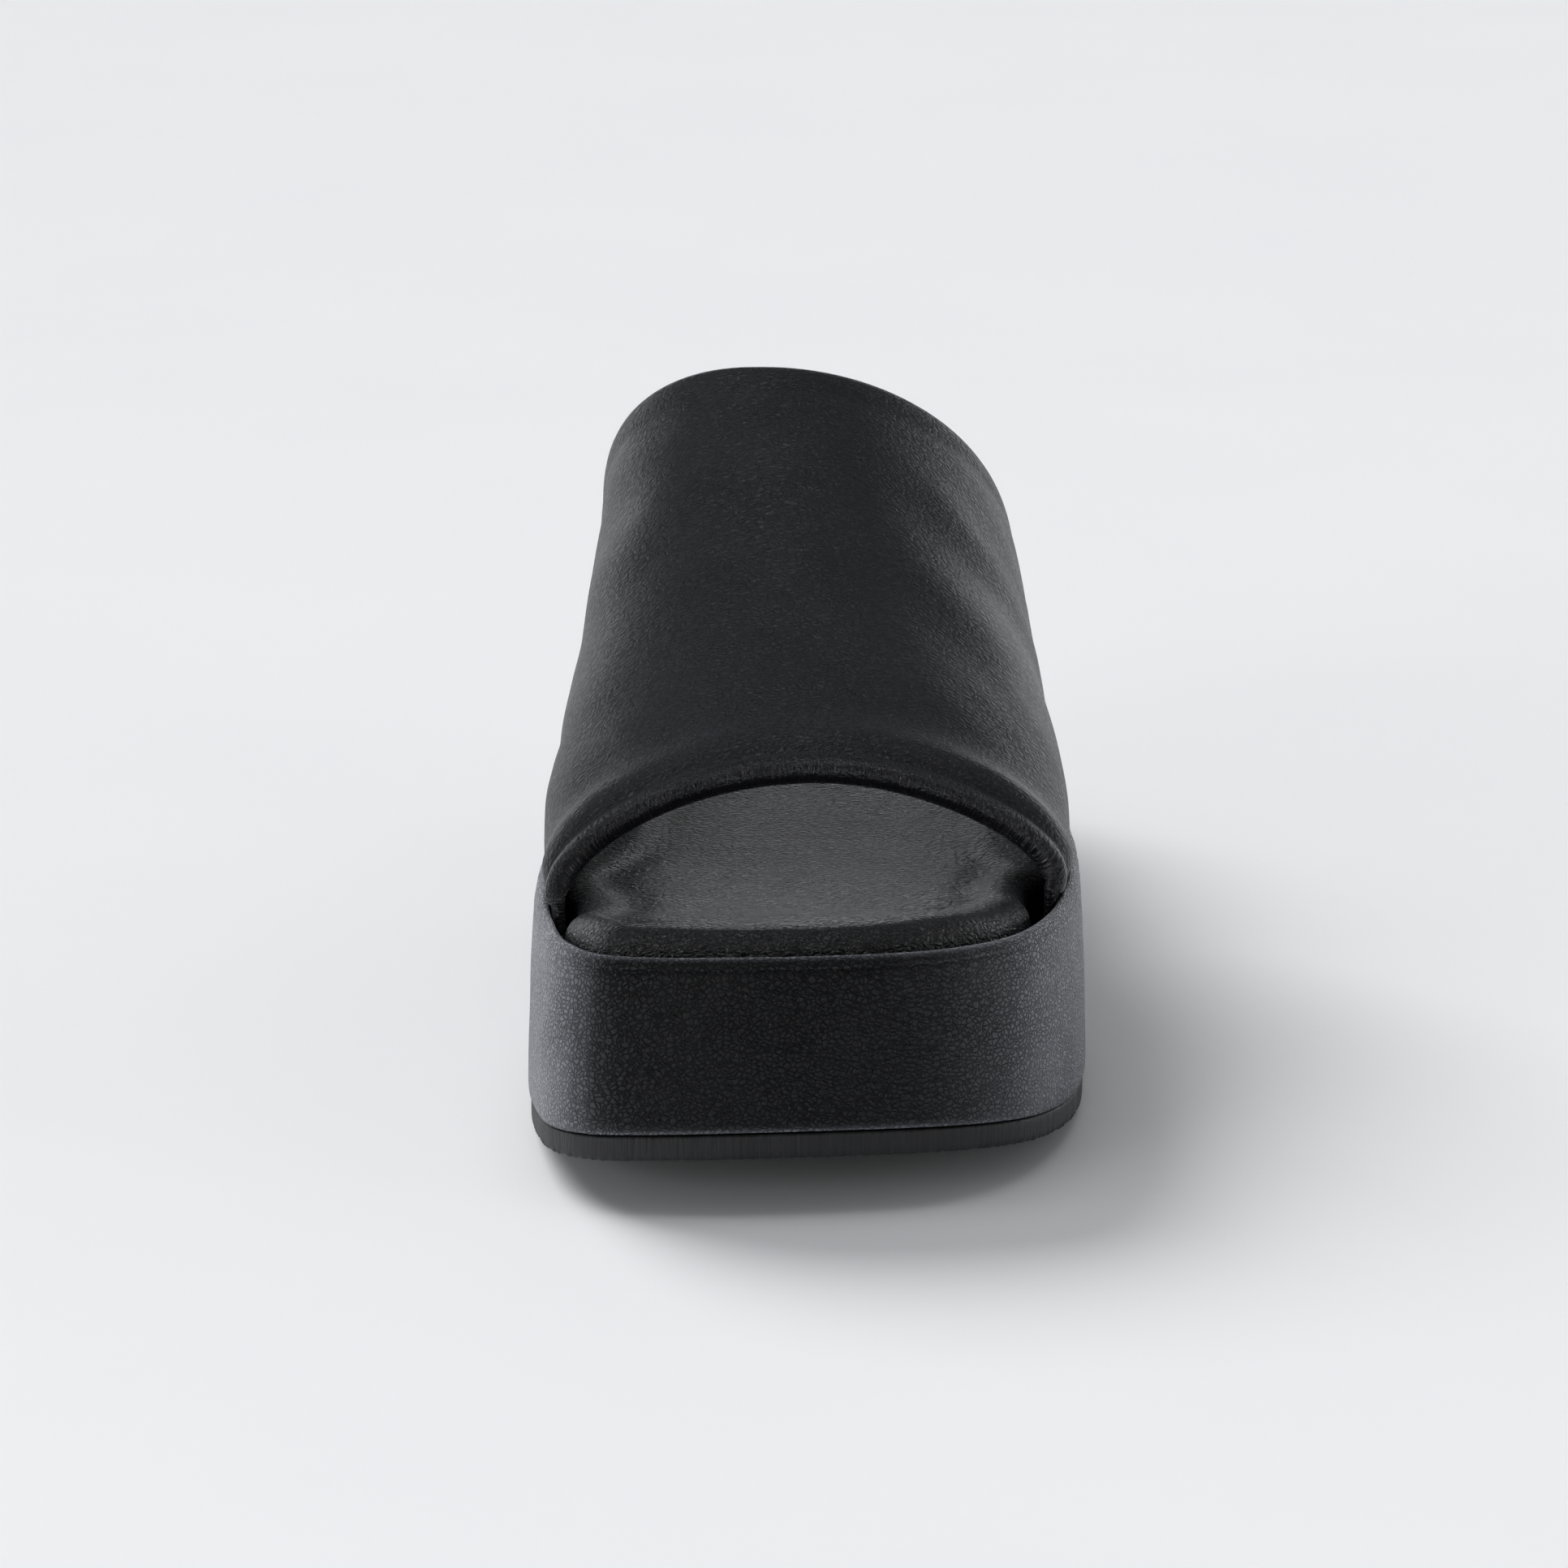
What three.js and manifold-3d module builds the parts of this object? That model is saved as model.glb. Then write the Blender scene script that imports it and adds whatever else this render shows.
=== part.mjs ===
// Platform mule, left shoe: a padded leather upper, open at toe and heel, on a leather covered
// platform. Millimetres, +Z up. The toe points to -Y, the outer side of the foot is +X, and the shoe
// stands on z = 0. "along" is the distance back from the tip of the toe, and "across" is negative on
// the big toe's side.
import * as THREE from "three";
import { mergeVertices } from "three/addons/utils/BufferGeometryUtils.js";
import Module from "manifold-3d";

// Plan of the sole
const soleLength = 254;
const ballWidth = 98.9;
const heelWidth = 70;

// Heights above the floor of the platform's top edge
const toeRimHeight = 45;
const ballRimHeight = 41.5;
const heelRimHeight = 61;

// Underside
const toeSpring = 10.7;
const toeSpringReach = 80;
const springTwist = 2.1;
const archRise = 3;
const archStart = 112;
const archLength = 76;
const heelBevel = 1.6;
const heelBevelReach = 16;

// Thicknesses and clearances of the sole's layers
const clearance = 0.3;
const outsoleThickness = 4.3;
const outsoleInset = 0.5;
const outsoleChamfer = 0.7;
const coverThickness = 1.3;
const rimThickness = 2.5;
const rimDepth = 9;
const rimRounding = 2.6;
const wallTaper = 1.5;
const bottomTuck = 0.5;
const bottomTuckHeight = 1.6;
const coreShoulder = 2;

// Tread
const treadBorder = 4;
const grooveWidth = 2;
const grooveDepth = 1.5;
const groovePitch = 10;
const grooveBow = 9;
const foreTreadStart = 14;
const foreTreadGrooves = 10;
const heelTreadStart = 194;
const heelTreadGrooves = 5;

// Footbed
const footbedGap = 0.5;
const footbedRise = 2;
const footbedEdgeRadius = 4.5;
const toeRidge = 1;
const toeRidgeEnd = 18;
const toeRidgeFade = 14;
const rollHeight = 1;
const rollCrest = 0.65;
const rollEndsAt = 0.4 * ballWidth;
const rollEndsMax = 1.2;
const rollDroop = 0.83;
const rollWidth = 14.5;
const rollSideWidth = 5.5;
const rollEnd = 50;
const rollFade = 25;
const valleyDepth = 0.25;
const valleySideDepth = 1.7;
const valleyWidth = 2.2;
const sideLipHeight = 1.2;
const sideLipWidth = 16;
const heelCupDepth = 3.5;
const archSupport = 4.5;

// Upper
const upperThickness = 3.4;
const marginThickness = 2;
const toeBead = 5;
const collarBead = 3.8;
const beadReach = 5.5;
const instepHeight = 69.5;
const toeEdgeCentre = 47.5;
const toeEdgeMedial = 32;
const toeEdgeLateral = 42;
const collarCentre = 139;
const collarMedial = 172;
const collarLateral = 175;

// Outline of the platform, once round from the tip of the toe by the big toe's side to the heel and
// back. Each across is a share of the ball's width plus a share of the heel's.
const outlineTable = [
  { along: 0.0, ball: -0.235, heel: 0 },
  { along: 0.012, ball: -0.365, heel: 0 },
  { along: 0.052, ball: -0.438, heel: 0 },
  { along: 0.115, ball: -0.475, heel: 0 },
  { along: 0.2, ball: -0.495, heel: 0 },
  { along: 0.3, ball: -0.487, heel: 0 },
  { along: 0.43, ball: -0.35, heel: -0.11 },
  { along: 0.56, ball: -0.16, heel: -0.28 },
  { along: 0.69, ball: -0.04, heel: -0.41 },
  { along: 0.81, ball: 0, heel: -0.475 },
  { along: 0.92, ball: 0, heel: -0.425 },
  { along: 0.984, ball: 0, heel: -0.235 },
  { along: 1.0, ball: 0, heel: 0.015 },
  { along: 0.984, ball: 0, heel: 0.265 },
  { along: 0.92, ball: 0, heel: 0.455 },
  { along: 0.81, ball: 0, heel: 0.51 },
  { along: 0.69, ball: 0.08, heel: 0.45 },
  { along: 0.56, ball: 0.26, heel: 0.26 },
  { along: 0.43, ball: 0.42, heel: 0.09 },
  { along: 0.31, ball: 0.505, heel: 0 },
  { along: 0.2, ball: 0.49, heel: 0 },
  { along: 0.122, ball: 0.443, heel: 0 },
  { along: 0.062, ball: 0.364, heel: 0 },
  { along: 0.024, ball: 0.235, heel: 0 },
  { along: 0.005, ball: 0.02, heel: 0 },
];
const outlinePoints = 84;

// Height of the platform's top edge along the shoe, as shares of the three rim heights.
const rimTable = [
  { along: 0.0, toe: 1, ball: 0, heel: 0 },
  { along: 0.12, toe: 0.4, ball: 0.6, heel: 0 },
  { along: 0.29, toe: 0, ball: 1, heel: 0 },
  { along: 0.45, toe: 0, ball: 0.95, heel: 0.05 },
  { along: 0.6, toe: 0, ball: 0.76, heel: 0.24 },
  { along: 0.75, toe: 0, ball: 0.44, heel: 0.56 },
  { along: 0.9, toe: 0, ball: 0.12, heel: 0.88 },
  { along: 1.0, toe: 0, ball: 0, heel: 1 },
];

// Shape of the folded rim: how far below its top, as shares of rimRounding, and how far in from the
// wall's face, as shares of rimThickness.
const rimProfile = [
  { drop: 1, inward: 0.1 },
  { drop: 0.4, inward: 0.3 },
  { drop: 0.08, inward: 0.56 },
  { drop: 0, inward: 0.75 },
  { drop: 0.25, inward: 1 },
];

// Cross sections of the upper. crown is the height above the platform's top edge as a share of
// instepHeight. shift is where the crown lies across, and lean how far each wall bulges out, as
// shares of the ball's width. wall and top say how full each quarter is: how far up the wall, and
// how far out from the crown, it keeps straight. M is the big toe's side and L the outer side.
const upperTable = [
  { along: 0.11, crown: 0.15, shift: 0.03, leanM: 0.0, leanL: 0.03, wallM: 0.47, wallL: 0.34 },
  { along: 0.19, crown: 0.33, shift: 0.02, leanM: 0.03, leanL: 0.04, wallM: 0.48, wallL: 0.38 },
  { along: 0.29, crown: 0.51, shift: 0.0, leanM: 0.07, leanL: 0.04, wallM: 0.56, wallL: 0.44 },
  { along: 0.39, crown: 0.7, shift: -0.03, leanM: 0.12, leanL: 0.06, wallM: 0.59, wallL: 0.49 },
  { along: 0.49, crown: 0.92, shift: -0.07, leanM: 0.16, leanL: 0.07, wallM: 0.62, wallL: 0.52 },
  { along: 0.55, crown: 1.04, shift: -0.09, leanM: 0.19, leanL: 0.1, wallM: 0.68, wallL: 0.56 },
  { along: 0.64, crown: 1.21, shift: -0.1, leanM: 0.2, leanL: 0.1, wallM: 0.74, wallL: 0.58 },
  { along: 0.72, crown: 1.34, shift: -0.1, leanM: 0.18, leanL: 0.09, wallM: 0.78, wallL: 0.59 },
];
const topTable = [
  { along: 0.11, topM: 0.48, topL: 0.48 },
  { along: 0.19, topM: 0.54, topL: 0.5 },
  { along: 0.29, topM: 0.62, topL: 0.54 },
  { along: 0.39, topM: 0.64, topL: 0.51 },
  { along: 0.49, topM: 0.69, topL: 0.52 },
  { along: 0.55, topM: 0.75, topL: 0.52 },
  { along: 0.64, topM: 0.79, topL: 0.55 },
  { along: 0.72, topM: 0.79, topL: 0.57 },
];

const smoothStep = (t) => {
  const c = Math.min(1, Math.max(0, t));
  return c * c * (3 - 2 * c);
};

// A smooth curve through one column of a table. It may be read at any distance along the shoe.
function column(table, name) {
  const at = table.map((row) => row.along);
  const value = table.map((row) => row[name]);
  const last = at.length - 1;
  const slope = at.map((_, i) => {
    const a = Math.max(0, i - 1);
    const b = Math.min(last, i + 1);
    return (value[b] - value[a]) / (at[b] - at[a]);
  });
  return (along) => {
    const share = along / soleLength;
    if (share <= at[0]) return value[0] + slope[0] * (share - at[0]);
    if (share >= at[last]) return value[last] + slope[last] * (share - at[last]);
    const i = at.findIndex((edge, k) => share < edge && k > 0) - 1;
    const span = at[i + 1] - at[i];
    const t = (share - at[i]) / span;
    const rest = 1 - t;
    return (
      value[i] * rest * rest * (1 + 2 * t) +
      value[i + 1] * t * t * (3 - 2 * t) +
      slope[i] * span * t * rest * rest -
      slope[i + 1] * span * t * t * rest
    );
  };
}

// Plan outlines: closed lists of points with y the distance along, anticlockwise from above. Point 0
// is at the tip of the toe and the middle one at the heel. Point i lies across the shoe from the
// i-th before the end.
const heelRow = outlineTable.findIndex((row) => row.along === 1) / outlineTable.length;
const outlineCurve = new THREE.CatmullRomCurve3(
  outlineTable.map((p) => {
    const x = p.ball * ballWidth + p.heel * heelWidth;
    return new THREE.Vector3(x, p.along * soleLength, 0);
  }),
  true,
  "centripetal",
);
const outline = Array.from({ length: outlinePoints }, (_, i) =>
  outlineCurve.getPoint((heelRow + 1.5 - i / outlinePoints) % 1),
);

// A closed outline moved in towards its middle, by a number or by distance(point).
function inset(points, distance) {
  const n = points.length;
  return points.map((p, i) => {
    const before = points[(i + n - 1) % n];
    const after = points[(i + 1) % n];
    const direction = new THREE.Vector3().subVectors(after, before).normalize();
    const by = typeof distance === "number" ? distance : distance(p);
    return new THREE.Vector3(p.x + direction.y * -by, p.y + direction.x * by, 0);
  });
}

// Half the outline at one distance along: side -1 is the big toe's side and +1 the outer side.
function edgeAt(points, along, side) {
  let best = side * -Infinity;
  points.forEach((a, i) => {
    const b = points[(i + 1) % points.length];
    if ((a.y - along) * (b.y - along) > 0 || a.y === b.y) return;
    const x = a.x + ((along - a.y) / (b.y - a.y)) * (b.x - a.x);
    best = side > 0 ? Math.max(best, x) : Math.min(best, x);
  });
  return best;
}

// Heights of the sole's surfaces
const rimToe = column(rimTable, "toe");
const rimBall = column(rimTable, "ball");
const rimHeel = column(rimTable, "heel");
const rimHeight = (along) =>
  rimToe(along) * toeRimHeight + rimBall(along) * ballRimHeight + rimHeel(along) * heelRimHeight;
const deckHeight = (along) => rimHeight(along) - rimDepth;

function groundHeight(p) {
  const spring = Math.max(0, 1 - p.y / toeSpringReach) ** 2;
  const twist = (springTwist * p.x) / ballWidth;
  const arch = Math.sin(Math.PI * Math.min(1, Math.max(0, (p.y - archStart) / archLength))) ** 2;
  const bevel = Math.max(0, (p.y - soleLength + heelBevelReach) / heelBevelReach) ** 2;
  return spring * (toeSpring + twist) + archRise * arch + heelBevel * bevel;
}

// A closed body from rings of equal length, each a list of points, with the first and last filled in.
function loft(rings, fillStart, fillEnd) {
  const n = rings[0].length;
  const position = rings.flat().flatMap((p) => [p.x, p.y, p.z]);
  const index = [];
  for (let r = 0; r + 1 < rings.length; r++) {
    for (let i = 0; i < n; i++) {
      const a = r * n + i;
      const b = r * n + ((i + 1) % n);
      index.push(a, b, b + n, a, b + n, a + n);
    }
  }
  const top = (rings.length - 1) * n;
  for (const [a, b, c] of fillStart(rings[0])) index.push(a, c, b);
  for (const [a, b, c] of fillEnd(rings[rings.length - 1])) index.push(top + a, top + b, top + c);
  const geometry = new THREE.BufferGeometry();
  geometry.setAttribute("position", new THREE.Float32BufferAttribute(position, 3));
  geometry.setIndex(index);
  return geometry;
}

// Fills a plan ring by crossing the shoe from each point to the one opposite.
function spanFill(ring) {
  const n = ring.length;
  const faces = [[0, 1, n - 1]];
  for (let i = 1; i + 1 < n / 2; i++) faces.push([i, i + 1, n - i - 1], [i, n - i - 1, n - i]);
  faces.push([n / 2 - 1, n / 2, n / 2 + 1]);
  return faces;
}

// Fills a long thin ring by crossing from each point to the one that mirrors it.
function crossFill(ring) {
  const faces = [];
  for (let i = 0; i + 1 < ring.length / 2; i++) {
    const a = ring.length - 1 - i;
    faces.push([i, i + 1, a], [i + 1, a - 1, a]);
  }
  return faces;
}

// Rings that shrink from an outline towards a line down the middle of the shoe.
const spineStart = 0.19 * soleLength;
const spineEnd = 0.85 * soleLength;
const spineHeel = 0.02 * heelWidth;
function shrink(points, share) {
  return points.map((p) => {
    const y = Math.min(spineEnd, Math.max(spineStart, p.y));
    const x = spineHeel * ((y - spineStart) / (spineEnd - spineStart));
    return new THREE.Vector3(x + (p.x - x) * share, y + (p.y - y) * share, 0);
  });
}
const raise = (points, height) => points.map((p) => new THREE.Vector3(p.x, p.y, height(p)));
const fieldInset = 7;
const field = inset(outline, fieldInset);
const fieldShares = [1, 0.62, 0.2];

// A slab of the sole: its wall goes up through the given rings and both faces follow height functions.
// Every slab's faces have the same points in plan, so layers that meet stay the same distance apart.
function slab(wall, under, over) {
  const below = [...fieldShares].reverse().map((share) => raise(shrink(field, share), under));
  const above = fieldShares.map((share) => raise(shrink(field, share), over));
  return loft([...below, ...wall, ...above], spanFill, spanFill);
}

// The platform's wall leans in a little towards the rim, and tucks in where it meets the outsole.
const coverFoot = (p) => groundHeight(p) + outsoleThickness + clearance;
function wallInset(p, z) {
  const foot = coverFoot(p);
  const up = (z - foot) / (rimHeight(p.y) - foot);
  const tuck = bottomTuck * Math.max(0, 1 - (z - foot) / bottomTuckHeight) ** 2;
  return wallTaper * up + tuck;
}

// One ring of the platform's wall at a height, set in by a thickness from its outer face.
function wallRing(height, thickness) {
  return raise(
    inset(outline, (p) => wallInset(p, height(p)) + thickness),
    height,
  );
}

function buildOutsole(wasm) {
  const plan = inset(outline, outsoleInset);
  const top = (p) => groundHeight(p) + outsoleThickness;
  const wall = [
    raise(inset(plan, outsoleChamfer), groundHeight),
    raise(plan, (p) => groundHeight(p) + outsoleChamfer),
    raise(plan, top),
  ];
  let sole = asSolid(wasm, slab(wall, groundHeight, top));
  const border = inset(plan, treadBorder);
  const within = asSolid(
    wasm,
    loft([raise(border, () => -grooveDepth), raise(border, () => ballRimHeight)], spanFill, spanFill),
  );
  const starts = [
    ...Array.from({ length: foreTreadGrooves }, (_, i) => foreTreadStart + i * groovePitch),
    ...Array.from({ length: heelTreadGrooves }, (_, i) => heelTreadStart + i * groovePitch),
  ];
  for (const start of starts) {
    sole = sole.subtract(asSolid(wasm, grooveTool(start)).intersect(within));
  }
  return asGeometry(sole);
}

// A bowed bar across the sole whose top lies grooveDepth inside the tread.
const grooveSteps = 6;
const grooveReach = 0.6 * ballWidth;
function grooveTool(start) {
  const steps = grooveSteps;
  const reach = grooveReach;
  const rings = [];
  for (let i = 0; i <= steps; i++) {
    const x = -reach + (2 * reach * i) / steps;
    const bow = grooveBow * (x / reach) ** 2;
    const ends = [start + bow - grooveWidth / 2, start + bow + grooveWidth / 2];
    const top = (y) => groundHeight({ x, y }) + grooveDepth;
    rings.push([
      new THREE.Vector3(x, ends[0], -grooveDepth),
      new THREE.Vector3(x, ends[1], -grooveDepth),
      new THREE.Vector3(x, ends[1], top(ends[1])),
      new THREE.Vector3(x, ends[0], top(ends[0])),
    ]);
  }
  const square = () => [
    [0, 1, 2],
    [0, 2, 3],
  ];
  return loft(rings, square, square);
}

function buildMidsole() {
  const side = coverThickness + clearance;
  const over = (p) => deckHeight(p.y);
  const tuckTop = (p) => coverFoot(p) + bottomTuckHeight;
  const shoulder = (p) => deckHeight(p.y) - coreShoulder;
  const wall = [
    wallRing(coverFoot, side),
    wallRing(tuckTop, side),
    wallRing(shoulder, side),
    wallRing(over, rimThickness + clearance),
  ];
  return slab(wall, coverFoot, over);
}

// The leather cover: a thin wall round the platform that thickens to a folded, rounded rim.
function buildCover() {
  const top = (p) => rimHeight(p.y);
  const deck = (p) => deckHeight(p.y);
  const tuckTop = (p) => coverFoot(p) + bottomTuckHeight;
  return ringBody([
    wallRing(coverFoot, 0),
    wallRing(tuckTop, 0),
    wallRing((p) => top(p) - 2 * rimRounding, 0),
    ...rimProfile.map((row) =>
      wallRing((p) => top(p) - row.drop * rimRounding, row.inward * rimThickness),
    ),
    wallRing((p) => deck(p) + clearance, rimThickness),
    wallRing((p) => deck(p) - coreShoulder, coverThickness),
    wallRing(tuckTop, coverThickness),
    wallRing(coverFoot, coverThickness),
  ]);
}

// A ring shaped body: the rings run round its section and the last joins the first.
function ringBody(rings) {
  const n = rings[0].length;
  const count = rings.length;
  const position = rings.flat().flatMap((p) => [p.x, p.y, p.z]);
  const index = [];
  for (let r = 0; r < count; r++) {
    const here = r * n;
    const next = ((r + 1) % count) * n;
    for (let i = 0; i < n; i++) {
      const j = (i + 1) % n;
      index.push(here + i, here + j, next + j, here + i, next + j, next + i);
    }
  }
  const geometry = new THREE.BufferGeometry();
  geometry.setAttribute("position", new THREE.Float32BufferAttribute(position, 3));
  geometry.setIndex(index);
  return geometry;
}

// How much of the upper stands between the footbed and the rim: 0 at the open toe and heel, and 1
// beside the upper.
const tuckRamp = 8;
function upperBeside(p) {
  const start = p.x < 0 ? toeEdgeMedial : toeEdgeLateral;
  const end = p.x < 0 ? collarMedial : collarLateral;
  const fromToe = smoothStep((p.y - start + clearance + tuckRamp) / tuckRamp);
  return fromToe * smoothStep((end + clearance + tuckRamp - p.y) / tuckRamp);
}

const footbedShares = [0.98, 0.945, 0.89, 0.83, 0.76, 0.69, 0.63, 0.56, 0.4, 0.15];
function buildFootbed() {
  const innerRim = wallTaper + rimThickness;
  const edge = inset(
    outline,
    (p) => innerRim + footbedGap + (marginThickness + clearance) * upperBeside(p),
  );
  const floor = (p) => deckHeight(p.y) + clearance;
  const top = (p) => footbedTop(p, edge);
  const sides = [raise(edge, floor), raise(edge, top)];
  const above = footbedShares.map((share) => raise(shrink(edge, share), top));
  const below = [...fieldShares].reverse().map((share) => raise(shrink(field, share), floor));
  return loft([...below, ...sides, ...above], spanFill, spanFill);
}

function distanceToEdge(p, points) {
  let best = Infinity;
  const segment = new THREE.Line3();
  const flat = new THREE.Vector3(p.x, p.y, 0);
  const near = new THREE.Vector3();
  points.forEach((a, i) => {
    segment.set(a, points[(i + 1) % points.length]);
    segment.closestPointToPoint(flat, true, near);
    best = Math.min(best, near.distanceTo(flat));
  });
  return best;
}

// The moulded footbed. A soft roll lies across the toe, with a shallow valley behind it that deepens
// to both sides and then the ridge where the pad begins. A low lip follows the sides, a support fills
// the arch, and a cup holds the heel.
const archAt = { across: -0.3 * ballWidth, along: 0.58 * soleLength };
const archSize = { across: 0.16 * ballWidth, along: 0.13 * soleLength };
const cupAt = { across: spineHeel, along: 0.85 * soleLength };
const cupSize = { across: 0.33 * heelWidth, along: 0.12 * soleLength };

function mound(p, at, size) {
  return Math.exp(-(((p.x - at.across) / size.across) ** 2) - ((p.y - at.along) / size.along) ** 2);
}

function footbedTop(p, edge) {
  const inside = distanceToEdge(p, edge);
  const aside = Math.min(rollEndsMax, Math.abs(p.x) / rollEndsAt) ** 2;
  const back = smoothStep((p.y - rollEnd) / rollFade);
  const front = 1 - back;
  const atToe = rollWidth + (rollSideWidth - rollWidth) * aside;
  const width = atToe * front + sideLipWidth * back;
  const share = inside / width;
  const behind = Math.min(1, (share - rollCrest) / (1 - rollCrest));
  const crest =
    share < rollCrest
      ? 1 - rollDroop * (1 - share / rollCrest) ** 2
      : Math.cos((Math.PI * behind) / 2) ** 2;
  const roll = crest * (rollHeight * front + sideLipHeight * back);
  const deep = front * (valleyDepth + (valleySideDepth - valleyDepth) * aside);
  const valley = deep * Math.exp(-(((inside - width) / valleyWidth) ** 2));
  const short = Math.max(0, 1 - inside / footbedEdgeRadius);
  const round = footbedEdgeRadius * (1 - Math.sqrt(1 - short * short));
  const ridge = toeRidge * (1 - smoothStep((p.y - toeRidgeEnd) / toeRidgeFade));
  const arch = archSupport * mound(p, archAt, archSize);
  const cup = heelCupDepth * mound(p, cupAt, cupSize);
  return rimHeight(p.y) + footbedRise + ridge + roll - valley - round + arch - cup;
}

// The upper's middle surface. turn runs from -1, at its foot on the big toe's side, over the crown at
// 0, to 1. footShare is the part of each side that goes down inside the rim, and swellShare the part
// above it in which the wall grows from its thin margin to its padding.
const upperColumns = {};
for (const table of [upperTable, topTable]) {
  const names = Object.keys(table[0]).filter((name) => name !== "along");
  for (const name of names) upperColumns[name] = column(table, name);
}
const rimInner = inset(outline, wallTaper + rimThickness + clearance + marginThickness / 2);
const footShare = 0.1;
const swellShare = 0.12;
const overRim = 2;

function upperMiddle(along, turn) {
  const side = turn < 0 ? -1 : 1;
  const suffix = side < 0 ? "M" : "L";
  const base = rimHeight(along) + overRim;
  const foot = deckHeight(along) + clearance;
  const edge = edgeAt(rimInner, along, side);
  const down = (Math.abs(turn) - (1 - footShare)) / footShare;
  if (down > 0) return new THREE.Vector3(edge, along, base + (foot - base) * down);
  const height = instepHeight * upperColumns.crown(along) - upperThickness / 2 - overRim;
  const crown = upperColumns.shift(along) * ballWidth;
  const lean = upperColumns["lean" + suffix](along) * ballWidth;
  const wall = upperColumns["wall" + suffix](along);
  const fullness = upperColumns["top" + suffix](along);
  const t = 1 - Math.abs(turn) / (1 - footShare);
  const r = 1 - t;
  const [b0, b1, b2, b3] = [r * r * r, 3 * r * r * t, 3 * r * t * t, t * t * t];
  const shoulder = crown + (edge - crown) * fullness;
  const x = b0 * edge + b1 * (edge + side * lean) + b2 * shoulder + b3 * crown;
  const z = base + height * (b1 * wall + b2 + b3);
  return new THREE.Vector3(x, along, z);
}

function upperNormal(along, turn) {
  const step = 0.01;
  const near = step * soleLength;
  const alongWay = upperMiddle(along + near, turn).sub(upperMiddle(along - near, turn));
  const low = Math.max(-1, turn - step);
  const high = Math.min(1, turn + step);
  const across = upperMiddle(along, high).sub(upperMiddle(along, low));
  return alongWay.cross(across).normalize().multiplyScalar(-1);
}

// Where the toe opening and the collar cross each line of the upper.
const toeEdgeCurve = 1.1;
const collarCurve = 1.7;
function toeEdge(turn) {
  const side = turn < 0 ? toeEdgeMedial : toeEdgeLateral;
  const share = Math.cos((Math.abs(turn) ** toeEdgeCurve * Math.PI) / 2);
  return side + (toeEdgeCentre - side) * share;
}
function collarEdge(turn) {
  const side = turn < 0 ? collarMedial : collarLateral;
  return collarCentre + (side - collarCentre) * Math.abs(turn) ** collarCurve;
}

// Half the wall's thickness at a distance from its nearer edge: a rounded bead, then the plain wall.
// Towards its foot the wall thins to the flat margin that is tucked inside the rim.
const noseFullness = 2.4;
function halfThickness(fromToe, fromCollar, turn) {
  const [distance, bead] = fromToe < fromCollar ? [fromToe, toeBead] : [fromCollar, collarBead];
  const radius = bead / 2;
  const plain = upperThickness / 2;
  const fade = Math.cos((Math.PI * Math.min(distance, beadReach)) / beadReach / 2);
  const swell = plain + (radius - plain) * fade;
  const short = Math.max(0, 1 - distance / radius);
  const nose = (1 - short ** noseFullness) ** (1 / noseFullness);
  const margin = smoothStep((Math.abs(turn) - 1 + footShare + swellShare) / swellShare);
  return (swell + (marginThickness / 2 - swell) * margin) * nose;
}

const noseSteps = [0.02, 0.18, 0.5, 1];
const wallSteps = 10;
const footSteps = 2;
const curveSteps = 15;
function buildUpper() {
  const lines = [];
  const across = [];
  for (let i = 0; i < footSteps; i++) across.push(-1 + (footShare * i) / footSteps);
  for (let i = -curveSteps; i <= curveSteps; i++) across.push(((1 - footShare) * i) / curveSteps);
  for (let i = footSteps - 1; i >= 0; i--) across.push(1 - (footShare * i) / footSteps);
  for (const turn of across) {
    const start = toeEdge(turn);
    const end = collarEdge(turn);
    const stops = [
      ...noseSteps.map((share) => start + (share * toeBead) / 2),
      ...Array.from({ length: wallSteps }, (_, i) => {
        const from = start + toeBead / 2;
        const to = end - collarBead / 2;
        return from + ((to - from) * (i + 1)) / (wallSteps + 1);
      }),
      ...[...noseSteps].reverse().map((share) => end - (share * collarBead) / 2),
    ];
    const outer = [];
    const inner = [];
    for (const along of stops) {
      const half = halfThickness(along - start, end - along, turn);
      const point = upperMiddle(along, turn);
      const out = upperNormal(along, turn).multiplyScalar(half);
      outer.push(point.clone().add(out));
      inner.push(point.clone().sub(out));
    }
    lines.push([...inner, ...outer.reverse()]);
  }
  return loft(lines, crossFill, crossFill);
}

function asSolid(wasm, geometry) {
  const bare = geometry.clone();
  for (const name of Object.keys(bare.attributes)) if (name !== "position") bare.deleteAttribute(name);
  const merged = mergeVertices(bare, 1e-3);
  const solid = new wasm.Manifold(
    new wasm.Mesh({
      numProp: 3,
      vertProperties: new Float32Array(merged.attributes.position.array),
      triVerts: new Uint32Array(merged.index.array),
    }),
  );
  return solid;
}

function asGeometry(solid) {
  const mesh = solid.getMesh();
  const geometry = new THREE.BufferGeometry();
  geometry.setAttribute("position", new THREE.BufferAttribute(mesh.vertProperties, mesh.numProp));
  geometry.setIndex(new THREE.BufferAttribute(mesh.triVerts, 1));
  return geometry;
}

const matt = (color, roughness) => new THREE.MeshStandardMaterial({ color, roughness, metalness: 0 });

const wasm = await Module();
wasm.setup();

const shoe = new THREE.Group();
function add(name, geometry, material) {
  geometry.computeVertexNormals();
  const mesh = new THREE.Mesh(geometry, material);
  mesh.name = name;
  shoe.add(mesh);
}
add("outsole", buildOutsole(wasm), matt(0x2a2a2b, 0.7));
add("midsole", buildMidsole(), matt(0x1d1d1e, 0.9));
add("platform_cover", buildCover(), matt(0x17171a, 0.5));
add("footbed", buildFootbed(), matt(0x1b1b1d, 0.5));
add("upper", buildUpper(), matt(0x18181a, 0.45));

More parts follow.
